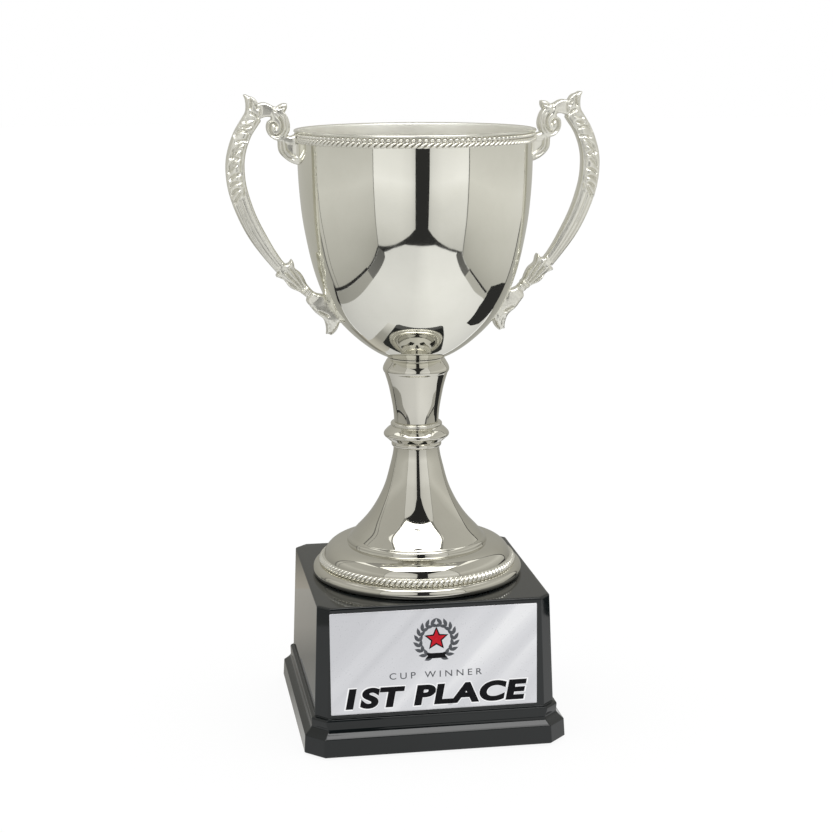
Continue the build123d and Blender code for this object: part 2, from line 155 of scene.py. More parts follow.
class Mat:
    def __init__(self, name):
        self.m = bpy.data.materials.new(name)
        self.m.use_nodes = True
        self.t = self.m.node_tree
        self.b = self.t.nodes["Principled BSDF"]

    def node(self, kind, **kw):
        n = self.t.nodes.new(kind)
        for k, v in kw.items():
            if k.startswith("in_"):
                n.inputs[k[3:].replace("_", " ")].default_value = v
            else:
                setattr(n, k, v)
        return n

    def link(self, a, b):
        self.t.links.new(a, b)

    def coords(self, scale=(1, 1, 1), rot=(0, 0, 0)):
        c = self.node("ShaderNodeTexCoord")
        mp = self.node("ShaderNodeMapping")
        mp.inputs["Scale"].default_value = scale
        mp.inputs["Rotation"].default_value = rot
        self.link(c.outputs["Object"], mp.inputs["Vector"])
        return mp.outputs["Vector"]

    def noise(self, vec, scale, detail=4.0, rough=0.55, dist=0.0):
        n = self.node("ShaderNodeTexNoise")
        n.inputs["Scale"].default_value = scale
        n.inputs["Detail"].default_value = detail
        n.inputs["Roughness"].default_value = rough
        n.inputs["Distortion"].default_value = dist
        self.link(vec, n.inputs["Vector"])
        return n.outputs["Fac"]

    def ramp(self, fac, stops, mode="LINEAR"):
        r = self.node("ShaderNodeValToRGB")
        r.color_ramp.interpolation = mode
        els = r.color_ramp.elements
        while len(els) > 1:
            els.remove(els[-1])
        els[0].position = stops[0][0]
        els[0].color = (*stops[0][1], 1) if len(stops[0][1]) == 3 else stops[0][1]
        for p, c in stops[1:]:
            e = els.new(p)
            e.color = (*c, 1) if len(c) == 3 else c
        self.link(fac, r.inputs["Fac"])
        return r.outputs["Color"]

    def range(self, fac, a0, a1, b0, b1):
        r = self.node("ShaderNodeMapRange")
        r.inputs["From Min"].default_value = a0
        r.inputs["From Max"].default_value = a1
        r.inputs["To Min"].default_value = b0
        r.inputs["To Max"].default_value = b1
        self.link(fac, r.inputs["Value"])
        return r.outputs["Result"]

    def math(self, op, a, b=None):
        n = self.node("ShaderNodeMath", operation=op)
        for i, v in enumerate((a, b)):
            if v is None:
                continue
            if isinstance(v, (int, float)):
                n.inputs[i].default_value = v
            else:
                self.link(v, n.inputs[i])
        return n.outputs[0]

    def mix(self, fac, a, b, mode="MIX"):
        n = self.node("ShaderNodeMix", data_type="RGBA", blend_type=mode)
        for sock, v in ((n.inputs[0], fac), (n.inputs[6], a), (n.inputs[7], b)):
            if isinstance(v, (int, float)):
                sock.default_value = v
            elif isinstance(v, tuple):
                sock.default_value = (*v, 1) if len(v) == 3 else v
            else:
                self.link(v, sock)
        return n.outputs[2]

    def bump(self, h, dist, strength=1.0, normal=None):
        n = self.node("ShaderNodeBump")
        n.inputs["Strength"].default_value = strength
        n.inputs["Distance"].default_value = dist
        self.link(h, n.inputs["Height"])
        if normal is not None:
            self.link(normal, n.inputs["Normal"])
        return n.outputs["Normal"]


def metal(name, col, dark, rough=(0.035, 0.075), lathe_lines=True, wave=3e-6, recess_shade=0.0):
    M = Mat(name)
    b = M.b
    b.inputs["Metallic"].default_value = 1.0
    v = M.coords()
    cloud = M.noise(v, 38.0, 5.0, 0.6)
    fine = M.noise(v, 420.0, 3.0, 0.6)
    tint = M.ramp(cloud, [(0.30, dark), (0.62, col)])
    spots = M.range(fine, 0.66, 0.74, 0.0, 0.05)
    tint = M.mix(spots, tint, (0.55, 0.53, 0.46))
    # painted shade: concave spots (low Pointiness) are darkened toward a dull grey-brown, standing in for the occlusion
    # in the recesses; the last argument sets its strength
    if recess_shade:
        geo = M.node("ShaderNodeNewGeometry")
        f = M.range(geo.outputs["Pointiness"], 0.40, 0.505, recess_shade, 0.0)
        tint = M.mix(f, tint, (0.40, 0.385, 0.34))
    M.link(tint, b.inputs["Base Color"])
    r1 = M.noise(M.coords((1, 1, 1.6)), 90.0, 6.0, 0.65)
    M.link(M.range(r1, 0.3, 0.75, rough[0], rough[1]), b.inputs["Roughness"])
    soft = M.noise(v, 30.0, 1.5, 0.4)
    n1 = M.bump(soft, wave, 1.0)
    if lathe_lines:
        lines = M.noise(M.coords((6, 6, 900)), 1.0, 4.0, 0.7)
        n1 = M.bump(lines, 0.35e-6, 1.0, n1)
    M.link(n1, b.inputs["Normal"])
    return M.m


NICKEL = (0.839, 0.834, 0.769)
NICKEL_D = (0.799, 0.794, 0.726)
m_cup = metal("plated_cup", NICKEL, NICKEL_D, (0.028, 0.055), True, 2.5e-6)
# trim and casting carry painted shade in their recesses (the last number)
m_trim = metal("plated_trim", (0.88, 0.87, 0.81), (0.82, 0.805, 0.74), (0.10, 0.18), False, 2e-6, 0.8)
m_cast = metal("plated_casting", (0.872, 0.864, 0.798), (0.840, 0.830, 0.762), (0.27, 0.36), False, 1.2e-6, 0.55)
# inside of the bowl: a rougher satin plating, with a lighter colour than the outside as painted light on the inside
m_inside_lightened = metal("plated_inside", (0.955, 0.950, 0.905), (0.89, 0.88, 0.82), (0.44, 0.56), True, 3e-6)
# painted shade: the stem and the foot use the cup's plating in a darker colour than the cup's own
m_turned_darkened = metal("plated_turned", (0.690, 0.676, 0.612), (0.650, 0.634, 0.568), (0.03, 0.06), True, 2e-6)
m_foot_darkened = metal("plated_foot", (0.655, 0.642, 0.580), (0.615, 0.600, 0.536), (0.028, 0.055), True, 2.5e-6)


def zinc():
    M = Mat("fastener_steel")
    b = M.b
    b.inputs["Metallic"].default_value = 1.0
    v = M.coords()
    cell = M.node("ShaderNodeTexVoronoi")
    cell.inputs["Scale"].default_value = 900.0
    M.link(v, cell.inputs["Vector"])
    f = M.noise(v, 160.0, 6.0, 0.6)
    tint = M.ramp(f, [(0.3, (0.46, 0.45, 0.42)), (0.55, (0.62, 0.62, 0.60)), (0.8, (0.70, 0.70, 0.69))])
    M.link(M.mix(0.12, tint, cell.outputs["Color"], "OVERLAY"), b.inputs["Base Color"])
    M.link(M.range(f, 0.3, 0.7, 0.24, 0.42), b.inputs["Roughness"])
    brushed = M.noise(M.coords((700, 700, 60)), 1.0, 3.0, 0.6)
    M.link(M.bump(brushed, 6e-6), b.inputs["Normal"])
    return M.m


def plastic():
    M = Mat("base_gloss_black")
    b = M.b
    v = M.coords()
    cloud = M.noise(v, 22.0, 4.0, 0.5)
    dust = M.noise(v, 1500.0, 2.0, 0.6)
    col = M.ramp(cloud, [(0.3, (0.0030, 0.0048, 0.0054)), (0.7, (0.0056, 0.0078, 0.0084))])
    M.link(M.mix(M.range(dust, 0.70, 0.80, 0.0, 0.10), col, (0.16, 0.16, 0.15)), b.inputs["Base Color"])
    scuff = M.noise(M.coords((1, 1, 1), (0.4, 0.2, 0.9)), 60.0, 7.0, 0.68, 0.6)
    r = M.range(scuff, 0.35, 0.75, 0.025, 0.085)
    M.link(M.math("ADD", r, M.range(dust, 0.68, 0.80, 0.0, 0.10)), b.inputs["Roughness"])
    b.inputs["IOR"].default_value = 1.50
    peel = M.noise(v, 260.0, 2.0, 0.5)
    sink = M.noise(v, 18.0, 1.0, 0.4)
    n = M.bump(sink, 22e-6)
    M.link(M.bump(peel, 1.0e-6, 1.0, n), b.inputs["Normal"])
    return M.m


def felt_mat():
    M = Mat("green_felt")
    b = M.b
    v = M.coords()
    fib = M.noise(v, 900.0, 8.0, 0.75, 1.2)
    patch = M.noise(v, 45.0, 3.0, 0.6)
    c1 = M.ramp(fib, [(0.25, (0.010, 0.055, 0.028)), (0.5, (0.022, 0.105, 0.055)), (0.8, (0.050, 0.165, 0.095))])
    M.link(M.mix(M.range(patch, 0.4, 0.7, 0.0, 0.35), c1, (0.016, 0.075, 0.040)), b.inputs["Base Color"])
    b.inputs["Roughness"].default_value = 0.95
    b.inputs["Sheen Weight"].default_value = 0.5
    b.inputs["Sheen Roughness"].default_value = 0.45
    M.link(M.bump(fib, 0.25e-3, 0.8), b.inputs["Normal"])
    return M.m


def hardboard():
    M = Mat("hardboard")
    b = M.b
    v = M.coords()
    fib = M.noise(M.coords((1, 2.2, 4)), 500.0, 8.0, 0.7, 0.8)
    blot = M.noise(v, 30.0, 4.0, 0.6)
    c = M.ramp(fib, [(0.3, (0.20, 0.115, 0.060)), (0.55, (0.34, 0.215, 0.125)), (0.8, (0.46, 0.31, 0.19))])
    M.link(M.mix(M.range(blot, 0.4, 0.7, 0.0, 0.4), c, (0.25, 0.15, 0.085)), b.inputs["Base Color"])
    M.link(M.range(fib, 0.3, 0.7, 0.45, 0.7), b.inputs["Roughness"])
    M.link(M.bump(fib, 40e-6), b.inputs["Normal"])
    return M.m


def iron():
    M = Mat("weight_iron")
    b = M.b
    v = M.coords()
    grit = M.noise(v, 700.0, 8.0, 0.7)
    rust = M.noise(v, 60.0, 6.0, 0.65)
    c = M.ramp(grit, [(0.3, (0.075, 0.070, 0.066)), (0.7, (0.19, 0.18, 0.17))])
    M.link(M.mix(M.range(rust, 0.55, 0.75, 0.0, 0.6), c, (0.20, 0.085, 0.035)), b.inputs["Base Color"])
    b.inputs["Metallic"].default_value = 0.6
    M.link(M.range(rust, 0.4, 0.7, 0.5, 0.85), b.inputs["Roughness"])
    M.link(M.bump(grit, 120e-6), b.inputs["Normal"])
    return M.m


def tape_mat():
    M = Mat("adhesive_tape")
    b = M.b
    v = M.coords()
    foam = M.node("ShaderNodeTexVoronoi")
    foam.inputs["Scale"].default_value = 2200.0
    M.link(v, foam.inputs["Vector"])
    c = M.ramp(foam.outputs["Distance"], [(0.1, (0.70, 0.69, 0.64)), (0.6, (0.86, 0.85, 0.81))])
    M.link(c, b.inputs["Base Color"])
    M.link(M.range(foam.outputs["Distance"], 0.0, 0.7, 0.5, 0.75), b.inputs["Roughness"])
    M.link(M.bump(foam.outputs["Distance"], 60e-6), b.inputs["Normal"])
    return M.m


m_zinc, m_plastic, m_felt, m_hard, m_iron, m_tape = zinc(), plastic(), felt_mat(), hardboard(), iron(), tape_mat()

# CAD nodes that keep their mesh get a finished material
for node, m in (("tie_rod", m_zinc), ("acorn_nut", m_zinc), ("bowl_washer", m_zinc), ("base_washer", m_zinc),
                ("lock_washer", m_zinc), ("base_nut", m_zinc), ("handle_screws", m_zinc), ("handle_washers", m_zinc),
                ("base_plate_screws", m_zinc), ("base_weight", m_iron), ("base_plate", m_hard), ("nameplate_tape", m_tape)):
    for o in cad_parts[node] if isinstance(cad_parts[node], (list, tuple)) else [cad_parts[node]]:
        for s in o.material_slots:
            s.material = m
        if not o.material_slots:
            o.data.materials.append(m)


def piece(ob, mat, node):
    ob.data.materials.clear()
    ob.data.materials.append(mat)
    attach(ob, "root")
    if node:
        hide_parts(node)
    return ob


# ---------------------------------------------------------------------------
# CUP
# ---------------------------------------------------------------------------
CUP_T = 0.9
cup_pts = [(13.6, 190.0), (16.6, 191.0), (20.2, 193.0), (24.9, 196.0), (30.0, 200.0), (35.3, 205.0),
           (40.6, 211.0), (45.0, 218.0), (48.25, 225.0), (50.75, 232.0), (53.06, 240.0), (55.19, 250.0),
           (57.27, 262.0), (58.13, 270.0), (58.9, 280.0), (59.25, 290.0), (59.3, 300.0)]
cup_curve = fair(cup_pts, 150, 3.0e3)
tan = np.gradient(cup_curve, axis=0)
tan /= np.hypot(tan[:, 0], tan[:, 1])[:, None]
cup_inner = cup_curve + np.c_[-tan[:, 1], tan[:, 0]] * CUP_T
cup_inner[0] = (13.2, 190.9)
cup_inner[-1] = (58.4, 300.0)
lip = cubic([(60.15, 304.85), (60.75, 305.05), (61.0, 305.6), (60.75, 306.15), (60.1, 306.4)], 12)
lip_in = cubic([(60.1, 306.4), (59.3, 306.3), (58.7, 305.9), (58.4, 305.2)], 8)
cup_prof = profile(("L", [(3.3, 190.0), (13.6, 190.0)]), ("L", cup_curve), ("L", [(59.3, 300.0), (59.3, 304.8)]),
                   ("L", [(59.3, 304.8), (60.15, 304.85)]), ("L", lip), ("L", lip_in), ("L", [(58.4, 305.2), (58.4, 300.0)]),
                   ("L", cup_inner[::-1]), ("L", [(13.2, 190.9), (3.3, 190.9)]))
cup = piece(lathe("cup_bowl_shell", cup_prof, 304, 30), m_cup, "cup_bowl")
# the inner faces take the lightened inside material (painted light)
cup.data.materials.append(m_inside_lightened)
for p in cup.data.polygons:
    c, n = p.center, p.normal
    if c.z < 0.3060 and c.z > 0.1906 and (n.x * c.x + n.y * c.y < -1e-6 or (n.z > 0.9 and c.z < 0.195)):
        p.material_index = 1


def rope_ring(name, r0, z0, z1, pitch_n, rows, per=12, steps=26, inner=None, env=None):
    """Band whose outer face carries rows of slanted lobes.
    rows: (zc, half_height, amp, slant mm per mm, fill, phase, power)"""
    n = pitch_n * per
    th = np.arange(n) * 2 * math.pi / n
    u = np.linspace(0, 1, steps)
    z = z0 + (z1 - z0) * u
    T, Z = np.meshgrid(th, z, indexing="ij")
    base = r0 + (env(Z) if env is not None else 0.0)
    R = np.array(base + 0 * T)
    pitch = 2 * math.pi * r0 / pitch_n
    for zc, hh, amp, slant, fill, phase, pw in rows:
        s = T * pitch_n / (2 * math.pi) - slant * (Z - zc) / pitch + phase
        ph = s - np.floor(s) - 0.5
        q = 1 - np.abs(ph / (0.5 * fill)) ** 2 - ((Z - zc) / hh) ** 2
        R = np.maximum(R, base + amp * np.power(np.clip(q, 0, None), pw))
    inner = inner if inner is not None else r0 - 0.8
    V = np.zeros((n, steps + 2, 3))
    V[:, :steps, 0] = R * np.cos(T)
    V[:, :steps, 1] = R * np.sin(T)
    V[:, :steps, 2] = Z
    for j, zz in ((steps, z1), (steps + 1, z0)):
        V[:, j, 0] = inner * np.cos(th)
        V[:, j, 1] = inner * np.sin(th)
        V[:, j, 2] = zz
    m = steps + 2
    i = np.arange(n)[:, None]
    j = np.arange(m)[None, :]
    a = i * m + j
    b = ((i + 1) % n) * m + j
    c = ((i + 1) % n) * m + (j + 1) % m
    d = i * m + (j + 1) % m
    F = np.stack([a, b, c, d], -1).reshape(-1, 4)
    ob = new_mesh_object(name, V.reshape(-1, 3) * MM, F)
    fix_normals(ob)
    ob.data.set_sharp_from_angle(angle=math.radians(60))
    return ob


rim_rope = rope_ring("rim_rope_strands", 59.62, 300.0, 304.8, 126,
                     [(301.45, 1.62, 1.50, 1.25, 0.96, 0.0, 0.62), (303.85, 1.02, 1.20, 0.35, 0.86, 0.5, 0.6)],
                     per=12, steps=26, inner=59.25)
piece(rim_rope, m_trim, "rim_rope_border")

# ---------------------------------------------------------------------------
# STEM
# ---------------------------------------------------------------------------
vase_prof = profile(("L", [(3.3, 156.2), (11.3, 156.2), (11.5, 156.35)]),
                    ("S", [(11.5, 156.35), (11.65, 159), (12.05, 163), (12.7, 167), (13.45, 171), (14.3, 175), (15.4, 179), (16.35, 182.0)], 52, 60.0),
                    ("S", [(16.35, 182.0), (16.75, 182.55), (17.05, 183.2), (17.15, 183.95), (17.05, 184.8)], 12),
                    ("S", [(17.05, 184.8), (16.6, 186.0), (15.9, 187.3), (15.2, 188.5), (14.8, 189.1)], 12),
                    ("S", [(14.8, 189.1), (14.55, 189.4), (14.4, 189.7), (14.3, 190.0)], 5),
                    ("L", [(14.3, 190.0), (3.3, 190.0), (3.3, 188.4), (12.9, 188.4), (14.9, 184.6)]),
                    ("S", [(14.9, 184.6), (13.7, 179.2), (12.7, 175), (11.85, 171), (11.1, 167), (10.45, 163), (10.0, 158)], 16),
                    ("L", [(10.0, 158.0), (3.3, 158.0)]))
piece(lathe("stem_vase_turned", vase_prof, 256, 30), m_turned_darkened, "stem_vase")

knop_prof = profile(("L", [(3.3, 143.2), (12.2, 143.2)]),
                    ("S", [(12.2, 143.2), (12.6, 143.35), (12.9, 143.8), (13.0, 144.4), (12.9, 145.0), (12.65, 145.45)], 14),
                    ("S", [(12.65, 145.45), (12.75, 145.7), (13.4, 146.05), (15.0, 147.25), (16.5, 148.55)], 14),
                    ("S", [(16.5, 148.55), (16.85, 149.0), (17.0, 149.6), (16.9, 150.2), (16.6, 150.75)], 10),
                    ("S", [(16.6, 150.75), (15.6, 151.85), (14.3, 153.0), (13.25, 153.75), (13.0, 154.0)], 14),
                    ("S", [(13.0, 154.0), (13.3, 154.4), (13.4, 154.95), (13.2, 155.55), (12.7, 156.0), (12.1, 156.2)], 14),
                    ("L", [(12.1, 156.2), (3.3, 156.2)]))
piece(lathe("knop_ring_turned", knop_prof, 256, 34), m_turned_darkened, "knop_ring")

trumpet = [(11.85, 143.2), (12.15, 140), (13.2, 135), (14.45, 130), (15.8, 125), (17.6, 120), (19.45, 116),
           (21.6, 112), (24.15, 108), (27.2, 104), (29.9, 101), (32.7, 98), (34.9, 95.4)]
foot_prof = profile(("L", [(3.3, 143.2), (11.85, 143.2)]), ("S", trumpet, 110, 400.0),
                    ("S", [(34.9, 95.4), (35.6, 94.9), (36.1, 94.35), (36.4, 93.7)], 8),
                    ("S", [(36.4, 93.7), (36.5, 92.9), (36.75, 92.4)], 5),
                    ("S", [(36.75, 92.4), (39.0, 92.42), (41.4, 92.2), (43.8, 91.5), (46.0, 90.1), (47.7, 88.2), (48.5, 86.6), (48.8, 85.3)], 34, 6.0),
                    ("L", [(48.8, 85.3), (49.0, 85.2), (49.0, 81.45), (51.0, 81.45)]),
                    ("S", [(51.0, 81.45), (52.5, 81.3), (53.7, 80.75), (54.5, 79.8), (54.9, 78.6), (54.9, 77.4), (54.5, 76.4), (54.0, 75.95)], 26),
                    ("S", [(54.0, 75.95), (53.8, 75.8), (53.6, 75.7)], 4),
                    ("L", [(50.6, 75.7), (50.6, 78.6), (47.2, 79.4), (47.2, 85.2), (46.2, 87.4), (44.2, 89.1), (41.6, 90.1), (38.4, 90.4), (36.2, 90.9), (35.0, 92.0), (34.0, 93.4)]),
                    ("S", [(34.0, 93.4), (31.6, 96.4), (28.6, 99.6), (25.9, 102.6), (22.9, 106.8), (20.2, 111.0), (18.1, 115.0),
                           (16.3, 119.2), (14.6, 124.4), (13.2, 129.5), (11.9, 134.6), (11.0, 139.6), (10.7, 141.4)], 30),
                    ("L", [(10.7, 141.4), (3.3, 141.4)]))
piece(lathe("stem_foot_spun", foot_prof, 320, 34), m_foot_darkened, "stem_foot")

foot_rope = rope_ring("foot_rope_strands", 49.35, 81.45, 85.2, 116,
                      [(83.2, 1.95, 1.55, 0.62, 0.97, 0.0, 0.60)],
                      per=14, steps=26, inner=48.9,
                      env=lambda Z: 0.75 * np.sqrt(np.clip(1 - ((Z - 81.45) / 3.8) ** 2, 0, 1)))
piece(foot_rope, m_trim, "foot_rope_border")

# ---------------------------------------------------------------------------
# HANDLES: one casting, drawn as a field on a grid and skinned
# ---------------------------------------------------------------------------
H_STEP = 0.3


def poly_sdf(X, Z, pts):
    P = np.array(pts, float)
    Q = np.roll(P, -1, axis=0)
    d = np.full(X.shape, 1e9)
    s = np.ones(X.shape)
    for (ax, az), (bx, bz) in zip(P, Q):
        ex, ez = bx - ax, bz - az
        L = ex * ex + ez * ez
        if L < 1e-12:
            continue
        wx, wz = X - ax, Z - az
        t = np.clip((wx * ex + wz * ez) / L, 0, 1)
        d = np.minimum(d, (wx - ex * t) ** 2 + (wz - ez * t) ** 2)
        c1 = Z >= az
        c2 = Z < bz
        c3 = ex * wz > ez * wx
        flip = (c1 & c2 & c3) | (~c1 & ~c2 & ~c3)
        s = np.where(flip, -s, s)
    return s * np.sqrt(d)


def line_dist(X, Z, pts):
    """Distance to an open polyline and the fraction along it."""
    P = np.array(pts, float)
    seg = np.hypot(*(P[1:] - P[:-1]).T)
    cum = np.r_[0, np.cumsum(seg)]
    best = np.full(X.shape, 1e9)
    fr = np.zeros(X.shape)
    for i in range(len(P) - 1):
        ex, ez = P[i + 1] - P[i]
        wx, wz = X - P[i][0], Z - P[i][1]
        t = np.clip((wx * ex + wz * ez) / max(seg[i] ** 2, 1e-9), 0, 1)
        d = (wx - ex * t) ** 2 + (wz - ez * t) ** 2
        m = d < best
        best = np.where(m, d, best)
        fr = np.where(m, (cum[i] + t * seg[i]) / cum[-1], fr)
    return np.sqrt(best), fr


def curve(pts, n=60):
    return [tuple(p) for p in cubic(pts, n)]


def groove(X, Z, pts, width, depth, taper=True, n=24):
    d, fr = line_dist(X, Z, curve(pts, n) if len(pts) > 2 else pts)
    a = depth * np.exp(-(d / width) ** 2)
    if taper:
        a = a * np.clip(np.minimum(fr, 1 - fr) / 0.18, 0.0, 1) ** 0.7
    return a


def smin(a, b, k):
    h = np.clip(0.5 + 0.5 * (b - a) / k, 0, 1)
    return b + (a - b) * h - k * h * (1 - h)


def slab(d2, h, r, Y):
    """Rounded extrusion of a 2-D distance d2 with half thickness h."""
    dx = (d2 + r)[:, None, :]
    dy = np.abs(Y)[None, :, None] - (h - r)[:, None, :]
    return np.hypot(np.maximum(dx, 0), np.maximum(dy, 0)) + np.minimum(np.maximum(dx, dy), 0) - r


def surface_nets(F, org, step):
    nx, ny, nz = F.shape
    acc = np.zeros((nx - 1, ny - 1, nz - 1, 3))
    cnt = np.zeros((nx - 1, ny - 1, nz - 1))
    crossings = []
    for ax in range(3):
        sl0 = [slice(None)] * 3
        sl1 = [slice(None)] * 3
        sl0[ax] = slice(0, -1)
        sl1[ax] = slice(1, None)
        a, b = F[tuple(sl0)], F[tuple(sl1)]
        I = np.argwhere((a < 0) != (b < 0))
        va = a[tuple(I.T)]
        vb = b[tuple(I.T)]
        pos = I.astype(float)
        pos[:, ax] += va / (va - vb)
        o1, o2 = [k for k in range(3) if k != ax]
        for d1 in (0, 1):
            for d2 in (0, 1):
                C = I.copy()
                C[:, o1] -= d1
                C[:, o2] -= d2
                ok = (C >= 0).all(1) & (C < np.array([nx - 1, ny - 1, nz - 1])).all(1)
                np.add.at(acc, tuple(C[ok].T), pos[ok])
                np.add.at(cnt, tuple(C[ok].T), 1)
        crossings.append((ax, o1, o2, I, va < 0))
    has = cnt > 0
    idx = -np.ones(cnt.shape, int)
    idx[has] = np.arange(has.sum())
    V = acc[has] / cnt[has][:, None] * step + np.array(org)
    faces = []
    for ax, o1, o2, I, neg in crossings:
        quad = []
        for d1, d2 in ((0, 0), (1, 0), (1, 1), (0, 1)):
            C = I.copy()
            C[:, o1] -= d1
            C[:, o2] -= d2
            C = np.clip(C, 0, np.array([nx - 2, ny - 2, nz - 2]))
            quad.append(idx[tuple(C.T)])
        q = np.stack(quad, -1)
        flip = neg if ax != 1 else ~neg
        q[flip] = q[flip][:, ::-1]
        faces.append(q[(q >= 0).all(1)])
    return V, np.concatenate(faces)


def relax(V, F, rounds, lam):
    n = len(V)
    E = np.concatenate([F[:, [0, 1]], F[:, [1, 2]], F[:, [2, 3]], F[:, [3, 0]]])
    E = np.unique(np.sort(E, 1), axis=0)
    deg = np.bincount(E.ravel(), minlength=n).astype(float)
    for _ in range(rounds):
        for l in (lam, -lam * 1.04):
            S = np.zeros_like(V)
            for k in range(3):
                S[:, k] = np.bincount(E[:, 0], V[E[:, 1], k], n) + np.bincount(E[:, 1], V[E[:, 0], k], n)
            V = V + l * (S / deg[:, None] - V)
    return V


arm_out_p = [(84.8, 315.6), (87.0, 312.0), (90.0, 307.3), (92.2, 302.6), (94.0, 297.2), (95.1, 292.0), (95.35, 286.5),
             (94.9, 280.5), (93.6, 274.0), (91.2, 266.8), (88.0, 259.4), (84.2, 252.4), (79.9, 246.2), (75.0, 240.0), (70.6, 234.8)]
arm_in_p = [(77.3, 311.2), (79.8, 307.6), (81.8, 304.6), (83.6, 300.8), (85.0, 296.5), (85.9, 291.5), (86.0, 286.5),
            (85.4, 280.0), (83.9, 273.8), (81.7, 267.0), (78.8, 260.2), (75.3, 253.4), (71.3, 246.2), (66.9, 239.6)]
slits = [((85.9, 311.0), (81.7, 312.2)), ((87.2, 307.9), (82.4, 309.0)), ((90.8, 303.8), (89.1, 306.1), (83.2, 305.5)),
         ((89.9, 300.9), (87.2, 301.6), (84.2, 301.6)), ((91.6, 296.3), (88.6, 299.2), (86.1, 300.6)),
         ((92.9, 293.5), (90.6, 296.0), (87.8, 297.5)), ((92.6, 293.1), (89.8, 293.3)),
         ((93.7, 288.4), (91.2, 291.6), (88.5, 293.1)), ((94.1, 285.9), (92.2, 288.6), (89.5, 290.3)),
         ((93.5, 282.6), (91.2, 284.6), (88.4, 285.3)), ((93.9, 278.6), (91.6, 280.7), (88.8, 281.3)),
         ((92.8, 274.5), (90.8, 277.2), (88.3, 277.9)), ((91.9, 270.6), (89.7, 273.8), (88.3, 276.3))]


def cup_radius(Z):
    o = np.argsort(cup_curve[:, 1])
    r = np.interp(Z, cup_curve[o, 1], cup_curve[o, 0])
    return np.where(Z < 190, 13.6, r)


def soften(h, rounds):
    """Blur a sampled height field a little, so narrow relief doesn't alias."""
    for _ in range(rounds):
        q = np.pad(h, 1, mode="edge")
        h = (q[:-2, 1:-1] + 2 * q[1:-1, 1:-1] + q[2:, 1:-1]) / 4
        q = np.pad(h, 1, mode="edge")
        h = (q[1:-1, :-2] + 2 * q[1:-1, 1:-1] + q[1:-1, 2:]) / 4
    return h


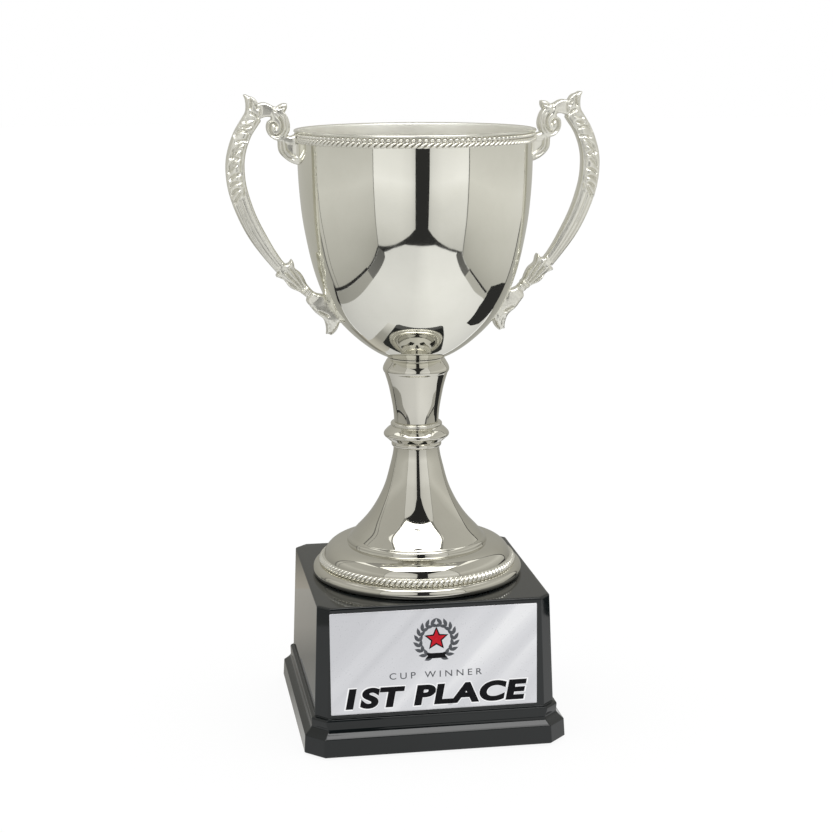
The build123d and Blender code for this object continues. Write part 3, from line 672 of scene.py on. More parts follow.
def handle_mesh():
    st = H_STEP
    xs = np.arange(33.0, 97.2, st)
    zs = np.arange(200.6, 325.4, st)
    ys = np.arange(-6.3, 6.3 + 1e-6, st)
    X, Z = np.meshgrid(xs, zs, indexing="ij")

    # --- arm ---------------------------------------------------------------
    N = 420
    O = cubic(arm_out_p, N)
    I_ = cubic(arm_in_p, N)
    Cc = (O + I_) / 2
    Wv = np.hypot(*(O - I_).T) / 2
    d_arm = poly_sdf(X, Z, [tuple(p) for p in O[::4]] + [tuple(p) for p in I_[::-4]])
    near = d_arm < 3.0
    gx, gz = X[near], Z[near]
    k = np.zeros(gx.shape, int)
    for c0 in range(0, len(gx), 4000):
        dd = (gx[c0:c0 + 4000, None] - Cc[None, :, 0]) ** 2 + (gz[c0:c0 + 4000, None] - Cc[None, :, 1]) ** 2
        k[c0:c0 + 4000] = dd.argmin(1)
    nrm = (O - I_) / (2 * Wv[:, None])
    off = (gx - Cc[k, 0]) * nrm[k, 0] + (gz - Cc[k, 1]) * nrm[k, 1]
    t = np.full(X.shape, 0.5)
    s = np.zeros(X.shape)
    t[near] = np.clip(0.5 - off / (2 * Wv[k]), 0, 1)
    s[near] = k / (N - 1.0)
    up = np.interp(t, [0.0, 0.10, 0.20, 0.26, 0.34, 0.55, 0.74, 0.82, 0.86, 0.93, 1.0],
                   [2.5, 3.25, 3.45, 3.35, 3.75, 4.35, 4.05, 3.45, 3.15, 3.75, 2.9])
    low = np.interp(t, [0.0, 0.08, 0.18, 0.235, 0.29, 0.40, 0.455, 0.52, 0.80, 0.855, 0.90, 0.95, 1.0],
                    [2.4, 3.15, 3.45, 2.85, 3.65, 3.85, 3.15, 4.05, 3.75, 3.05, 3.65, 3.7, 2.8])
    # the leaf ends along a slanted line near z = 272
    cut = (Z - 272.5) - 0.8 * (90.0 - X)
    w = np.clip(0.5 + cut / 1.6, 0, 1)
    h = up * w + low * (1 - w)
    tip = ((Z > 268) & (Z < 282))
    for sl in slits:
        d, fr = line_dist(X, Z, curve(sl, 14) if len(sl) > 2 else sl)
        fade = np.clip(np.minimum(fr + 0.12, 1.1 - fr) / 0.25, 0, 1)
        h = h - 1.75 * np.exp(-(d / 0.44) ** 2) * fade
        # each leaflet swells beside its slit
        side = np.exp(-((d - 1.25) / 0.80) ** 2) * fade
        h = h + 0.34 * side * w
    leaf_edge, fr = line_dist(X, Z, [(91.9, 270.6), (90.4, 272.9), (88.3, 276.3), (87.3, 279.5)])
    h = h + 0.35 * np.exp(-((leaf_edge - 0.9) / 0.5) ** 2) * (cut > 0)
    h = h + 0.25 * np.sin(np.clip((s - 0.0) / 0.08, 0, 1) * math.pi)
    # the arm thins a little toward its lower end
    h = h * np.interp(s, [0, 0.55, 0.8, 1.0], [1.0, 1.0, 0.95, 0.86])
    h = soften(np.minimum(h, 4.75), 3)
    f = slab(d_arm, h, 0.9, ys)

    # --- crest and bridge ----------------------------------------------------
    crest_poly = curve([(85.3, 314.2), (84.7, 316.8), (84.65, 319.3), (85.0, 321.8), (85.9, 323.85)], 18) + \
        curve([(85.9, 323.85), (84.3, 323.9), (82.7, 323.1), (81.6, 322.8), (80.3, 322.0), (79.3, 320.8), (78.6, 319.5)], 24) + \
        curve([(78.6, 319.5), (76.2, 320.05), (73.7, 319.5), (71.2, 318.2), (69.6, 317.7)], 20) + \
        curve([(69.6, 317.7), (68.0, 318.8), (66.1, 319.5), (64.5, 319.4)], 12) + \
        curve([(64.5, 319.4), (64.4, 317.8), (65.0, 316.0), (66.4, 314.4)], 10) + \
        curve([(66.4, 314.4), (69.0, 312.4), (71.6, 312.5), (73.2, 313.0), (75.7, 312.9), (78.0, 312.0)], 20) + \
        [(77.4, 311.2), (80.0, 308.6), (86.0, 311.2)]
    d_cr = poly_sdf(X, Z, crest_poly)
    h = 3.35 + 0.55 * np.clip(-d_cr / 3.0, 0, 1) ** 0.7
    h = h - groove(X, Z, [(82.3, 322.3), (82.1, 319.6), (82.9, 316.4)], 0.45, 1.0)
    h = h - groove(X, Z, [(80.6, 319.6), (79.6, 318.4), (79.0, 316.4)], 0.45, 0.9)
    h = h + groove(X, Z, [(83.9, 322.8), (83.4, 319.6), (84.0, 316.2)], 0.6, 0.35)
    h = h - groove(X, Z, [(82.8, 315.2), (80.7, 314.4), (78.3, 312.3)], 0.5, 0.9)
    h = h + groove(X, Z, [(83.4, 313.9), (80.9, 313.0), (79.0, 311.2)], 0.6, 0.45)
    h = h - groove(X, Z, [(71.6, 318.4), (70.6, 316.9), (70.6, 315.0)], 0.45, 0.7)
    h = h - groove(X, Z, [(69.0, 316.9), (67.4, 317.4), (65.6, 317.6)], 0.42, 0.8)
    h = h - groove(X, Z, [(78.2, 318.6), (77.6, 315.6), (78.2, 313.0)], 0.5, 0.6)
    f = smin(f, slab(d_cr, h, 1.0, ys), 0.35)

    # --- scroll ----------------------------------------------------------------
    sc = curve([(71.8, 316.9), (70.0, 316.6), (67.1, 316.0), (64.9, 314.1), (63.6, 311.2), (63.1, 308.4), (63.7, 305.3), (65.5, 302.8),
                (68.1, 301.3), (70.9, 301.8), (73.1, 303.5), (74.5, 306.0), (74.7, 308.6), (73.9, 310.6), (72.3, 311.9), (72.6, 313.6)], 80)
    d_sc = poly_sdf(X, Z, sc)
    h = np.full(X.shape, 3.75) + 0.25 * np.clip(-d_sc / 1.6, 0, 1)
    rib = [(70.9, 315.6), (70.0, 314.0), (68.5, 312.6), (67.4, 311.0), (66.9, 308.5), (67.5, 306.0), (69.2, 304.2), (71.2, 304.1),
           (72.6, 305.3), (73.2, 307.3), (72.9, 309.3), (71.6, 310.2), (70.3, 309.4), (69.9, 308.0), (70.4, 306.9)]
    d, fr = line_dist(X, Z, curve(rib, 90))
    h = h - 1.35 * np.exp(-(d / 0.52) ** 2) * np.clip((1.04 - fr) / 0.10, 0, 1)
    outer_rib = [(69.6, 315.2), (67.0, 314.0), (65.4, 311.4), (65.0, 308.4), (65.6, 305.0), (67.6, 302.9), (70.4, 302.9), (72.9, 304.4), (74.0, 306.6)]
    d, fr = line_dist(X, Z, curve(outer_rib, 60))
    h = h - 0.55 * np.exp(-(d / 0.34) ** 2) * np.clip(np.minimum(fr, 1 - fr) / 0.15, 0, 1)
    d = np.hypot(X - 71.1, Z - 307.6)
    h = h + 0.55 * np.exp(-(d / 0.9) ** 2)
    f = smin(f, slab(d_sc, h, 0.7, ys), 0.3)

    # --- bracket onto the cup -----------------------------------------------------
    br = curve([(64.6, 304.2), (62.9, 303.4), (61.0, 304.1), (57.0, 304.3)], 12) + [(56.0, 304.3), (56.0, 288.4)] + \
        curve([(57.0, 288.4), (59.1, 289.1), (61.8, 289.9), (64.1, 291.1), (66.9, 293.4), (68.5, 295.6), (69.1, 298.4), (69.2, 301.0), (69.9, 303.0)], 40) + \
        [(68.0, 304.8)]
    d_br = poly_sdf(X, Z, br)
    h = 3.1 + 0.65 * np.clip(-d_br / 1.4, 0, 1) - 0.0 * X
    h = h - groove(X, Z, [(67.4, 301.8), (67.15, 299.0), (66.9, 296.8), (66.0, 294.8), (63.8, 293.0), (60.6, 291.8)], 0.42, 0.9, n=30)
    h = h - 0.8 * np.clip((-d_br - 3.2) / 1.0, 0, 1) * (X < 66.5)
    h = h + np.interp(X, [58.5, 62.0], [0.55, 0.0])
    f = smin(f, slab(d_br, h, 0.9, ys), 0.35)

    # --- calyx, ring, neck and ball -------------------------------------------------
    ca = curve([(68.0, 241.3), (66.6, 239.7), (65.1, 240.0), (63.5, 242.1)], 10) + \
        curve([(63.5, 242.1), (62.5, 240.2), (62.0, 237.6), (60.6, 236.2), (59.1, 235.0), (57.4, 232.4), (56.2, 229.6)], 24) + \
        curve([(56.2, 229.6), (55.2, 228.2), (53.9, 226.6), (52.6, 225.3), (50.8, 224.2)], 14) + \
        [(47.0, 223.4), (46.0, 216.0)] + \
        curve([(54.2, 217.8), (55.9, 219.6), (56.3, 220.9), (56.0, 222.2)], 12) + \
        curve([(56.0, 222.2), (57.6, 223.6), (59.4, 225.1)], 8) + \
        curve([(59.4, 225.1), (61.2, 226.1), (63.9, 227.3), (65.9, 229.3), (67.5, 231.5), (69.6, 232.7), (71.5, 233.4)], 24) + \
        curve([(71.5, 233.4), (71.1, 234.7), (70.2, 235.5), (71.6, 237.2)], 10)
    d_ca = poly_sdf(X, Z, ca)
    ax0, ax1 = np.array((52.4, 220.4)), np.array((69.3, 238.4))
    u = ax1 - ax0
    Lc = np.hypot(*u)
    u /= Lc
    al = (X - ax0[0]) * u[0] + (Z - ax0[1]) * u[1]
    ac = -(X - ax0[0]) * u[1] + (Z - ax0[1]) * u[0]
    h = np.interp(al, [-6, -2.5, 0, 2.6, 4.4, 6.2, 6.9, 8.2, 12, 16, 20, 24], [3.6, 3.9, 3.9, 3.2, 2.9, 3.0, 3.5, 3.3, 3.7, 3.9, 3.9, 3.4])
    cone = np.clip((al - 8.0) / 15.0, 0, 1)
    for c in (-0.52, 0.0, 0.52):
        d = np.abs(ac - c * (2.0 + 5.2 * cone))
        h = h - 0.95 * np.exp(-(d / 0.45) ** 2) * np.clip((al - 8.2) / 1.5, 0, 1) * np.clip((22.0 - al) / 2.0, 0, 1)
    for c in (-0.26, 0.26, 0.8, -0.8):
        d = np.abs(ac - c * (2.0 + 5.2 * cone))
        h = h + 0.30 * np.exp(-(d / 0.6) ** 2) * np.clip((al - 9.0) / 2.0, 0, 1)
    h = h + 0.55 * np.exp(-((al - 7.35) / 0.75) ** 2)
    h = h - 0.55 * np.exp(-((al - 8.6) / 0.45) ** 2) - 0.45 * np.exp(-((al - 6.05) / 0.5) ** 2)
    h = h - 0.7 * np.exp(-((al - 3.6) / 0.5) ** 2)
    f = smin(f, slab(d_ca, h, 1.5, ys), 0.35)

    # --- leaf lying on the bowl --------------------------------------------------------
    lf = curve([(54.6, 218.0), (52.2, 215.0), (50.4, 213.4), (48.5, 212.0), (47.2, 210.2), (46.5, 208.0), (46.25, 205.8), (46.6, 203.0)], 30) + \
        curve([(46.6, 203.0), (45.3, 203.2), (43.9, 202.3)], 8) + \
        curve([(43.9, 202.3), (42.4, 203.5), (41.2, 205.0), (40.4, 207.0), (39.8, 209.2)], 14) + \
        [(36.0, 208.5), (36.0, 214.0), (44.0, 222.5), (50.0, 223.0)]
    d_lf = poly_sdf(X, Z, lf)
    h = np.interp(Z, [202.2, 203.4, 205.0, 208.0, 211.5, 215.0, 218.5, 222.0], [1.5, 2.1, 3.1, 4.6, 5.2, 4.7, 3.7, 3.2])
    h = h - groove(X, Z, [(50.9, 215.6), (48.0, 214.2), (45.2, 212.6)], 0.5, 1.3)
    h = h - groove(X, Z, [(45.9, 210.6), (44.8, 208.0), (44.9, 204.6)], 0.55, 0.6)
    h = h + groove(X, Z, [(43.2, 211.4), (42.2, 208.6), (43.0, 205.2)], 0.9, 0.35)
    f = smin(f, slab(d_lf, h, 1.9, ys), 0.5)

    # --- sits on the cup's outside -------------------------------------------------------
    Yg = ys[None, :, None]
    rad = np.sqrt(X[:, None, :] ** 2 + Yg ** 2)
    wall = np.maximum(cup_radius(Z)[:, None, :], np.where((Z > 299.9) & (Z < 304.9), 60.9, 0.0)[:, None, :])
    f = np.maximum(f, (wall - 0.25) - rad)
    f[0, :, :] = f[-1, :, :] = 1.0
    f[:, 0, :] = f[:, -1, :] = 1.0
    f[:, :, 0] = f[:, :, -1] = 1.0
    V, F = surface_nets(f, (xs[0], ys[0], zs[0]), st)
    V = relax(V, F, 13, 0.5)
    return V, F


HV, HF = handle_mesh()
for side, name in ((1, "handle_right"), (-1, "handle_left")):
    V = HV.copy()
    V[:, 0] *= side
    F = HF if side == 1 else HF[:, ::-1]
    ob = new_mesh_object(name + "_casting", V * MM, F)
    bm = bmesh.new()
    bm.from_mesh(ob.data)
    # keep the one big island
    seen = set()
    islands = []
    bm.verts.ensure_lookup_table()
    for v0 in bm.verts:
        if v0.index in seen:
            continue
        stack, isl = [v0], []
        seen.add(v0.index)
        while stack:
            v = stack.pop()
            isl.append(v)
            for e in v.link_edges:
                o = e.other_vert(v)
                if o.index not in seen:
                    seen.add(o.index)
                    stack.append(o)
        islands.append(isl)
    islands.sort(key=len)
    for isl in islands[:-1]:
        bmesh.ops.delete(bm, geom=isl, context="VERTS")
    bmesh.ops.recalc_face_normals(bm, faces=bm.faces)
    bm.to_mesh(ob.data)
    bm.free()
    ob.data.polygons.foreach_set("use_smooth", [True] * len(ob.data.polygons))
    piece(ob, m_cast, name)

# ---------------------------------------------------------------------------
# BASE
# ---------------------------------------------------------------------------


def oct_loop(half, ch, z, rc=0.9, seg=6, sup=0.35):
    """Octagon with rounded corners and support points beside each corner."""
    a, b = half, half - ch
    P = [(a, -b), (a, b), (b, a), (-b, a), (-a, b), (-a, -b), (-b, -a), (b, -a)]
    out = []
    for i in range(8):
        p0, p1, p2 = (np.array(P[i - 1], float), np.array(P[i], float), np.array(P[(i + 1) % 8], float))
        d0 = (p0 - p1) / np.hypot(*(p0 - p1))
        d1 = (p2 - p1) / np.hypot(*(p2 - p1))
        ang = math.acos(float(np.clip(d0 @ d1, -1, 1)))
        tl = rc / math.tan(ang / 2)
        q0, q1 = p1 + d0 * tl, p1 + d1 * tl
        bis = (d0 + d1) / np.hypot(*(d0 + d1))
        c = p1 + bis * rc / math.sin(ang / 2)
        a0 = math.atan2(*(q0 - c)[::-1])
        a1 = math.atan2(*(q1 - c)[::-1])
        da = (a1 - a0 + math.pi) % (2 * math.pi) - math.pi
        out.append(tuple(p1 + d0 * (tl + sup)))
        for k in range(seg + 1):
            t = a0 + da * k / seg
            out.append((c[0] + rc * math.cos(t), c[1] + rc * math.sin(t)))
        out.append(tuple(p1 + d1 * (tl + sup)))
    return [(x, y, z) for x, y in out]


def loft(name, loops, cap0=True, cap1=True, sharp=35):
    n = len(loops[0])
    V = [v for L in loops for v in L]
    F = []
    for i in range(len(loops) - 1):
        for k in range(n):
            l = (k + 1) % n
            F.append((i * n + k, i * n + l, (i + 1) * n + l, (i + 1) * n + k))
    if cap0:
        F.append(tuple(reversed(range(n))))
    if cap1:
        F.append(tuple((len(loops) - 1) * n + k for k in range(n)))
    ob = new_mesh_object(name, np.array(V) * MM, F)
    fix_normals(ob)
    ob.data.set_sharp_from_angle(angle=math.radians(sharp))
    return ob


def fillet(pts, radii, seg=6):
    """Round the corners of an open (h, z) polyline."""
    out = [tuple(pts[0])]
    for i in range(1, len(pts) - 1):
        p0, p1, p2 = (np.array(q, float) for q in (pts[i - 1], pts[i], pts[i + 1]))
        r = radii[i]
        d0 = (p0 - p1) / np.hypot(*(p0 - p1))
        d1 = (p2 - p1) / np.hypot(*(p2 - p1))
        ang = math.acos(float(np.clip(d0 @ d1, -1, 1)))
        if r <= 0 or ang > math.pi - 0.02:
            out.append(tuple(p1))
            continue
        tl = min(r / math.tan(ang / 2), 0.49 * np.hypot(*(p0 - p1)), 0.49 * np.hypot(*(p2 - p1)))
        r = tl * math.tan(ang / 2)
        q0, q1 = p1 + d0 * tl, p1 + d1 * tl
        bis = (d0 + d1) / np.hypot(*(d0 + d1))
        c = p1 + bis * r / math.sin(ang / 2)
        a0 = math.atan2(*(q0 - c)[::-1])
        a1 = math.atan2(*(q1 - c)[::-1])
        da = (a1 - a0 + math.pi) % (2 * math.pi) - math.pi
        for k in range(seg + 1):
            t = a0 + da * k / seg
            out.append((c[0] + r * math.cos(t), c[1] + r * math.sin(t)))
    out.append(tuple(pts[-1]))
    return out


BASE_H = 75.7
cove, h, z = [], 66.2, 10.0
for slope, length in [(50, 0.8), (48, 0.8), (46, 0.8), (44, 0.8), (41, 0.8), (32, 0.45), (20, 0.45), (8, 0.45)]:
    h -= length * math.sin(math.radians(slope))
    z += length * math.cos(math.radians(slope))
    cove.append((h, z))
prof = [(66.4, 0.5), (66.9, 1.0), (66.42, 9.75), (66.2, 10.0)] + cove + [(62.9, 17.9), (62.55, 18.65), (61.2, 18.95), (59.1, BASE_H), (57.0, BASE_H)]
rad = [0, 0.5, 0.25, 0.2] + [0.0] * len(cove) + [0.55, 0.45, 0.45, 0.95, 0]
outer = []
for q0, q1 in zip(fillet(prof, rad, 6)[:-1], fillet(prof, rad, 6)[1:]):
    # extra rings close to both ends of a long flat keep its shading flat
    outer.append(q0)
    d = math.hypot(q1[0] - q0[0], q1[1] - q0[1])
    if d > 2.5:
        outer += [(q0[0] + (q1[0] - q0[0]) * t, q0[1] + (q1[1] - q0[1]) * t) for t in (0.4 / d, 1 - 0.4 / d)]
outer.append(fillet(prof, rad, 6)[-1])


def ch_at(z):
    return float(np.interp(z, [0, 10.0, 16.5, 18.6, 19.3, 75.7], [9.0, 9.0, 6.7, 6.6, 6.2, 5.8]))


loops = [oct_loop(h, ch_at(z), z) for h, z in outer]
loops.append(oct_loop(56.0, 5.2, BASE_H))
loops.append(oct_loop(46.0, 4.5, BASE_H))
inside = [(63.9, 0.5, 8.0), (63.9, 4.95, 8.0), (59.6, 5.0, 5.8), (57.9, 15.1, 5.8), (56.1, 72.0, 4.8)]
bottom = [oct_loop(h, c, z, rc=0.6) for h, z, c in inside]
all_loops = bottom[::-1] + loops
base = loft("base_shell_moulded", all_loops)
bm = bmesh.new()
bm.from_mesh(base.data)
for sx in (-1, 1):
    for sy in (-1, 1):
        ret = bmesh.ops.create_cone(bm, cap_ends=True, segments=40, radius1=4.5 * MM, radius2=4.5 * MM, depth=67.4 * MM,
                                    matrix=Matrix.Translation((sx * 47 * MM, sy * 47 * MM, (5.0 + 67.4 / 2) * MM)))
        bmesh.ops.bevel(bm, geom=[e for e in bm.edges if all(v in ret["verts"] for v in e.verts) and len(e.link_faces) == 2 and
                                  abs(e.verts[0].co.z - e.verts[1].co.z) < 1e-6], offset=0.3 * MM, segments=2, affect="EDGES")
bmesh.ops.recalc_face_normals(bm, faces=bm.faces)
bm.to_mesh(base.data)
bm.free()
base.data.polygons.foreach_set("use_smooth", [True] * len(base.data.polygons))
base.data.set_sharp_from_angle(angle=math.radians(35))
piece(base, m_plastic, "base_shell")

# felt pad: a thick soft sheet with a rolled edge and a napped surface
rng = np.random.default_rng(7)
felt_loops = []
for h, z in fillet([(40.0, 0.0), (63.75, 0.0), (63.75, 2.0), (40.0, 2.0)], [0, 0.8, 0.5, 0], 5):
    felt_loops.append(oct_loop(h, 8.0 if h > 50 else 5.5, z, rc=1.4, seg=6, sup=1.5))
felt = loft("base_felt_pad", felt_loops)
bm = bmesh.new()
bm.from_mesh(felt.data)
long_edges = [e for e in bm.edges if e.calc_length() > 0.006]
bmesh.ops.subdivide_edges(bm, edges=long_edges, cuts=14, use_grid_fill=True)
bm.normal_update()
for v in bm.verts:
    x, y, z = v.co / MM
    nap = 0.05 * (math.sin(1.9 * x + 0.7 * y) + math.sin(2.3 * y - 1.1 * x) + math.sin(3.1 * x + 2.9 * y))
    edge = 0.12 * math.sin(0.9 * x + 1.3 * y)
    if z < 0.6:
        v.co.z = max(0.0, z + 0.06 + nap * 0.35) * MM
    if max(abs(x), abs(y)) > 62.5:
        v.co.x -= math.copysign(abs(edge) * MM, x) if abs(x) > 62 else 0
        v.co.y -= math.copysign(abs(edge) * MM, y) if abs(y) > 62 else 0
bm.to_mesh(felt.data)
bm.free()
felt.data.polygons.foreach_set("use_smooth", [True] * len(felt.data.polygons))
piece(felt, m_felt, "base_felt")

# ---------------------------------------------------------------------------
# NAMEPLATE
# ---------------------------------------------------------------------------
NP_W, NP_H, NP_T, NP_X, NP_Z = 104.8, 52.3, 0.5, -1.2, 46.95
NP_TAPE = 0.25
drop, rise = 61.2 - 59.15, (BASE_H - 0.9) - 19.1
ang = math.atan2(drop, rise)
y_mid = -(61.2 - drop * (NP_Z - 19.1) / rise)
# plate frame: u along X, v up the face, w outward
Uv = Vector((1, 0, 0))
Wn = Vector((0, -math.cos(ang), math.sin(ang)))
Vv = Wn.cross(Uv)
PLATE = Matrix(((Uv.x, Vv.x, Wn.x, NP_X * MM), (Uv.y, Vv.y, Wn.y, y_mid * MM), (Uv.z, Vv.z, Wn.z, NP_Z * MM), (0, 0, 0, 1)))


def rrect(w, h, r, z, seg=6):
    out = []
    for cx, cy, a0 in ((w / 2 - r, h / 2 - r, 0), (-w / 2 + r, h / 2 - r, 90), (-w / 2 + r, -h / 2 + r, 180), (w / 2 - r, -h / 2 + r, 270)):
        for k in range(seg + 1):
            a = math.radians(a0 + 90 * k / seg)
            out.append((cx + r * math.cos(a), cy + r * math.sin(a), z))
    return out


t0, t1 = NP_TAPE, NP_TAPE + NP_T
np_loops = [rrect(NP_W - 0.1, NP_H - 0.1, 0.5, t0), rrect(NP_W, NP_H, 0.55, t0 + 0.05), rrect(NP_W, NP_H, 0.55, t1 - 0.32),
            rrect(NP_W - 0.16, NP_H - 0.16, 0.5, t1 - 0.22), rrect(NP_W - 1.1, NP_H - 1.1, 0.3, t1 - 0.03), rrect(NP_W - 1.3, NP_H - 1.3, 0.3, t1),
            rrect(NP_W - 2.4, NP_H - 2.4, 0.3, t1)]
plate = loft("nameplate_plate", np_loops, sharp=30)
plate.data.transform(PLATE)


def plate_mat():
    M = Mat("plate_aluminium")
    b = M.b
    turn = M.coords((1, 1, 1), (0, math.radians(46), 0))
    mp = M.node("ShaderNodeMapping")
    mp.inputs["Scale"].default_value = (3.0, 0.5, 72.0)
    mp.inputs["Location"].default_value = (0.35, 0.0, 1.15)
    M.link(turn, mp.inputs["Vector"])
    bands = M.noise(mp.outputs["Vector"], 1.0, 1.6, 0.40)
    fine = M.noise(M.coords((1, 1, 1)), 1400.0, 3.0, 0.6)
    col = M.ramp(bands, [(0.36, (0.60, 0.605, 0.63)), (0.46, (0.665, 0.67, 0.695)), (0.55, (0.70, 0.705, 0.73)), (0.66, (0.84, 0.845, 0.86))], "EASE")
    col = M.mix(M.range(fine, 0.45, 0.75, 0.0, 0.06), col, (0.55, 0.56, 0.60))
    M.link(col, b.inputs["Base Color"])
    b.inputs["Metallic"].default_value = 0.15
    M.link(M.range(fine, 0.3, 0.7, 0.26, 0.36), b.inputs["Roughness"])
    brushed = M.noise(M.coords((40, 40, 2600)), 1.0, 3.0, 0.6)
    M.link(M.bump(brushed, 0.8e-6), b.inputs["Normal"])
    return M.m


m_plate = plate_mat()
piece(plate, m_plate, "nameplate")


def ink(name, col, var, spec=0.04):
    M = Mat(name)
    b = M.b
    b.inputs["Specular IOR Level"].default_value = spec
    f = M.noise(M.coords(), 700.0, 5.0, 0.6)
    M.link(M.ramp(f, [(0.3, col), (0.75, var)]), b.inputs["Base Color"])
    M.link(M.range(f, 0.3, 0.7, 0.28, 0.42), b.inputs["Roughness"])
    M.link(M.bump(f, 1.5e-6), b.inputs["Normal"])
    return M.m


m_black = ink("ink_black", (0.006, 0.006, 0.007), (0.014, 0.014, 0.016))
m_grey = ink("ink_grey", (0.075, 0.080, 0.088), (0.115, 0.120, 0.130))
m_white = ink("ink_white", (0.90, 0.90, 0.91), (0.95, 0.95, 0.955))
m_red = ink("ink_red", (0.46, 0.012, 0.022), (0.60, 0.022, 0.034))


def flat_print(name, polys, w0, w1, mat):
    """Closed thin islands of ink from 2-D polygons on the plate's face."""
    V, F = [], []
    for poly in polys:
        n = len(poly)
        i0 = len(V)
        V += [(x, y, w0) for x, y in poly] + [(x, y, w1) for x, y in poly]
        F.append(tuple(i0 + k for k in reversed(range(n))))
        F.append(tuple(i0 + n + k for k in range(n)))
        for k in range(n):
            l = (k + 1) % n
            F.append((i0 + k, i0 + l, i0 + n + l, i0 + n + k))
    ob = new_mesh_object(name, np.array(V) * MM, F, smooth=False)
    bm = bmesh.new()
    bm.from_mesh(ob.data)
    bmesh.ops.recalc_face_normals(bm, faces=bm.faces)
    bmesh.ops.triangulate(bm, faces=[f for f in bm.faces if len(f.verts) > 4])
    bm.to_mesh(ob.data)
    bm.free()
    ob.data.transform(PLATE)
    return piece(ob, mat, None)


def text_print(name, body, cx, cy, width, height, offset, w0, w1, mat, spacing=1.0, shear=0.0):
    cu = bpy.data.curves.new(name + "_c", "FONT")
    cu.body = body
    cu.align_x = "CENTER"
    cu.align_y = "CENTER"
    cu.space_character = spacing
    cu.offset = offset
    cu.extrude = 0.5
    cu.resolution_u = 8
    cu.shear = shear
    tmp = bpy.data.objects.new(name + "_t", cu)
    bpy.context.scene.collection.objects.link(tmp)
    bpy.context.view_layer.update()
    me = bpy.data.meshes.new_from_object(tmp.evaluated_get(bpy.context.evaluated_depsgraph_get()))
    bpy.data.objects.remove(tmp)
    bpy.data.curves.remove(cu)
    co = np.array([v.co for v in me.vertices])
    lo, hi = co.min(0), co.max(0)
    k = (width / (hi[0] - lo[0]), height / (hi[1] - lo[1]))
    mid = (lo + hi) / 2
    for v in me.vertices:
        x, y, z = v.co
        v.co = ((cx + (x - mid[0]) * k[0]) * MM, (cy + (y - mid[1]) * k[1]) * MM, (w0 + (w1 - w0) * (z - lo[2]) / (hi[2] - lo[2])) * MM)
    bm = bmesh.new()
    bm.from_mesh(me)
    bmesh.ops.remove_doubles(bm, verts=bm.verts, dist=1e-7)
    bmesh.ops.recalc_face_normals(bm, faces=bm.faces)
    bm.to_mesh(me)
    bm.free()
    me.transform(PLATE)
    ob = bpy.data.objects.new(name, me)
    bpy.context.scene.collection.objects.link(ob)
    return piece(ob, mat, None)


def outline(poly, g):
    """Grow a closed polygon outward by g with mitred corners."""
    P = np.array(poly, float)
    A = 0.5 * np.sum(P[:, 0] * np.roll(P[:, 1], -1) - np.roll(P[:, 0], -1) * P[:, 1])
    if A < 0:
        P = P[::-1]
    d0 = P - np.roll(P, 1, 0)
    d1 = np.roll(P, -1, 0) - P
    n0 = np.c_[d0[:, 1], -d0[:, 0]] / np.hypot(*d0.T)[:, None]
    n1 = np.c_[d1[:, 1], -d1[:, 0]] / np.hypot(*d1.T)[:, None]
    b = n0 + n1
    b = b / np.maximum((b * b).sum(1) / 2, 0.35)[:, None]
    return [tuple(p) for p in P + b * g]


W0 = t1 - 0.004
# big line and small line
text_print("print_word_halo", "1ST PLACE", 1.0 - NP_X - 1.2, -18.2, 94.0, 12.0, 0.070, W0, W0 + 0.012, m_white, 1.06, 0.14)
text_print("print_word", "1ST PLACE", 1.0 - NP_X - 1.2, -18.2, 92.4, 10.8, 0.052, W0, W0 + 0.022, m_black, 1.08, 0.14)
text_print("print_small_line", "CUP WINNER", 0.6, -7.6, 47.0, 3.3, 0.004, W0, W0 + 0.018, m_grey, 1.55)

# emblem: laurel wreath round a star
EX, EY = 1.0, 10.2
leaves_l, leaves_h = [], []
for sgn in (-1, 1):
    for i in range(9):
        a = math.radians(-78 + i * 18.5)
        for inner_leaf in (0, 1):
            R = 9.4 - 1.0 * (i / 8.0)
            px, py = EX + sgn * R * math.cos(a), EY + R * math.sin(a)
            tang = a + math.pi / 2
            lean = 0.62 if inner_leaf else -0.50
            dirx, diry = math.cos(tang + lean), math.sin(tang + lean)
            L = 4.4 if not inner_leaf else 3.8
            wid = 1.02
            poly = []
            for q in np.linspace(0, 1, 9):
                poly.append((q * L, wid * math.sin(math.pi * q ** 0.85) * 0.9))
            for q in np.linspace(1, 0, 9)[1:-1]:
                poly.append((q * L, -wid * math.sin(math.pi * q ** 0.85) * 0.9))
            leaves_l.append([(px + sgn * (dirx * x - diry * y), py + diry * x + dirx * y) for x, y in poly])
flat_print("print_emblem_leaves", leaves_l, W0, W0 + 0.018, m_grey)
star = [(EX + (5.0 if k % 2 == 0 else 2.05) * math.sin(math.radians(36 * k)), EY + 0.4 + (5.0 if k % 2 == 0 else 2.05) * math.cos(math.radians(36 * k))) for k in range(10)]
flat_print("print_emblem_star_edge", [outline(star, 0.75)], W0, W0 + 0.014, m_black)
flat_print("print_emblem_star", [star], W0, W0 + 0.024, m_red)
rib_l = [(EX - 5.6, EY - 9.6), (EX - 4.4, EY - 8.2), (EX - 5.2, EY - 6.9), (EX + 5.2, EY - 6.9), (EX + 4.4, EY - 8.2), (EX + 5.6, EY - 9.6)]
flat_print("print_emblem_ribbon", [rib_l], W0, W0 + 0.024, m_black)

# ---------------------------------------------------------------------------
# STUDIO: white floor, light tent seen only in reflections, soft world
# ---------------------------------------------------------------------------
Fx, Fy = -0.0536, -0.9987
Rx, Ry = 0.9987, -0.0536


def tent(a, b, z):
    """Tent coordinates (right, front, up) in mm to world metres."""
    return ((a * Rx + b * Fx) * MM, (a * Ry + b * Fy) * MM, z * MM)


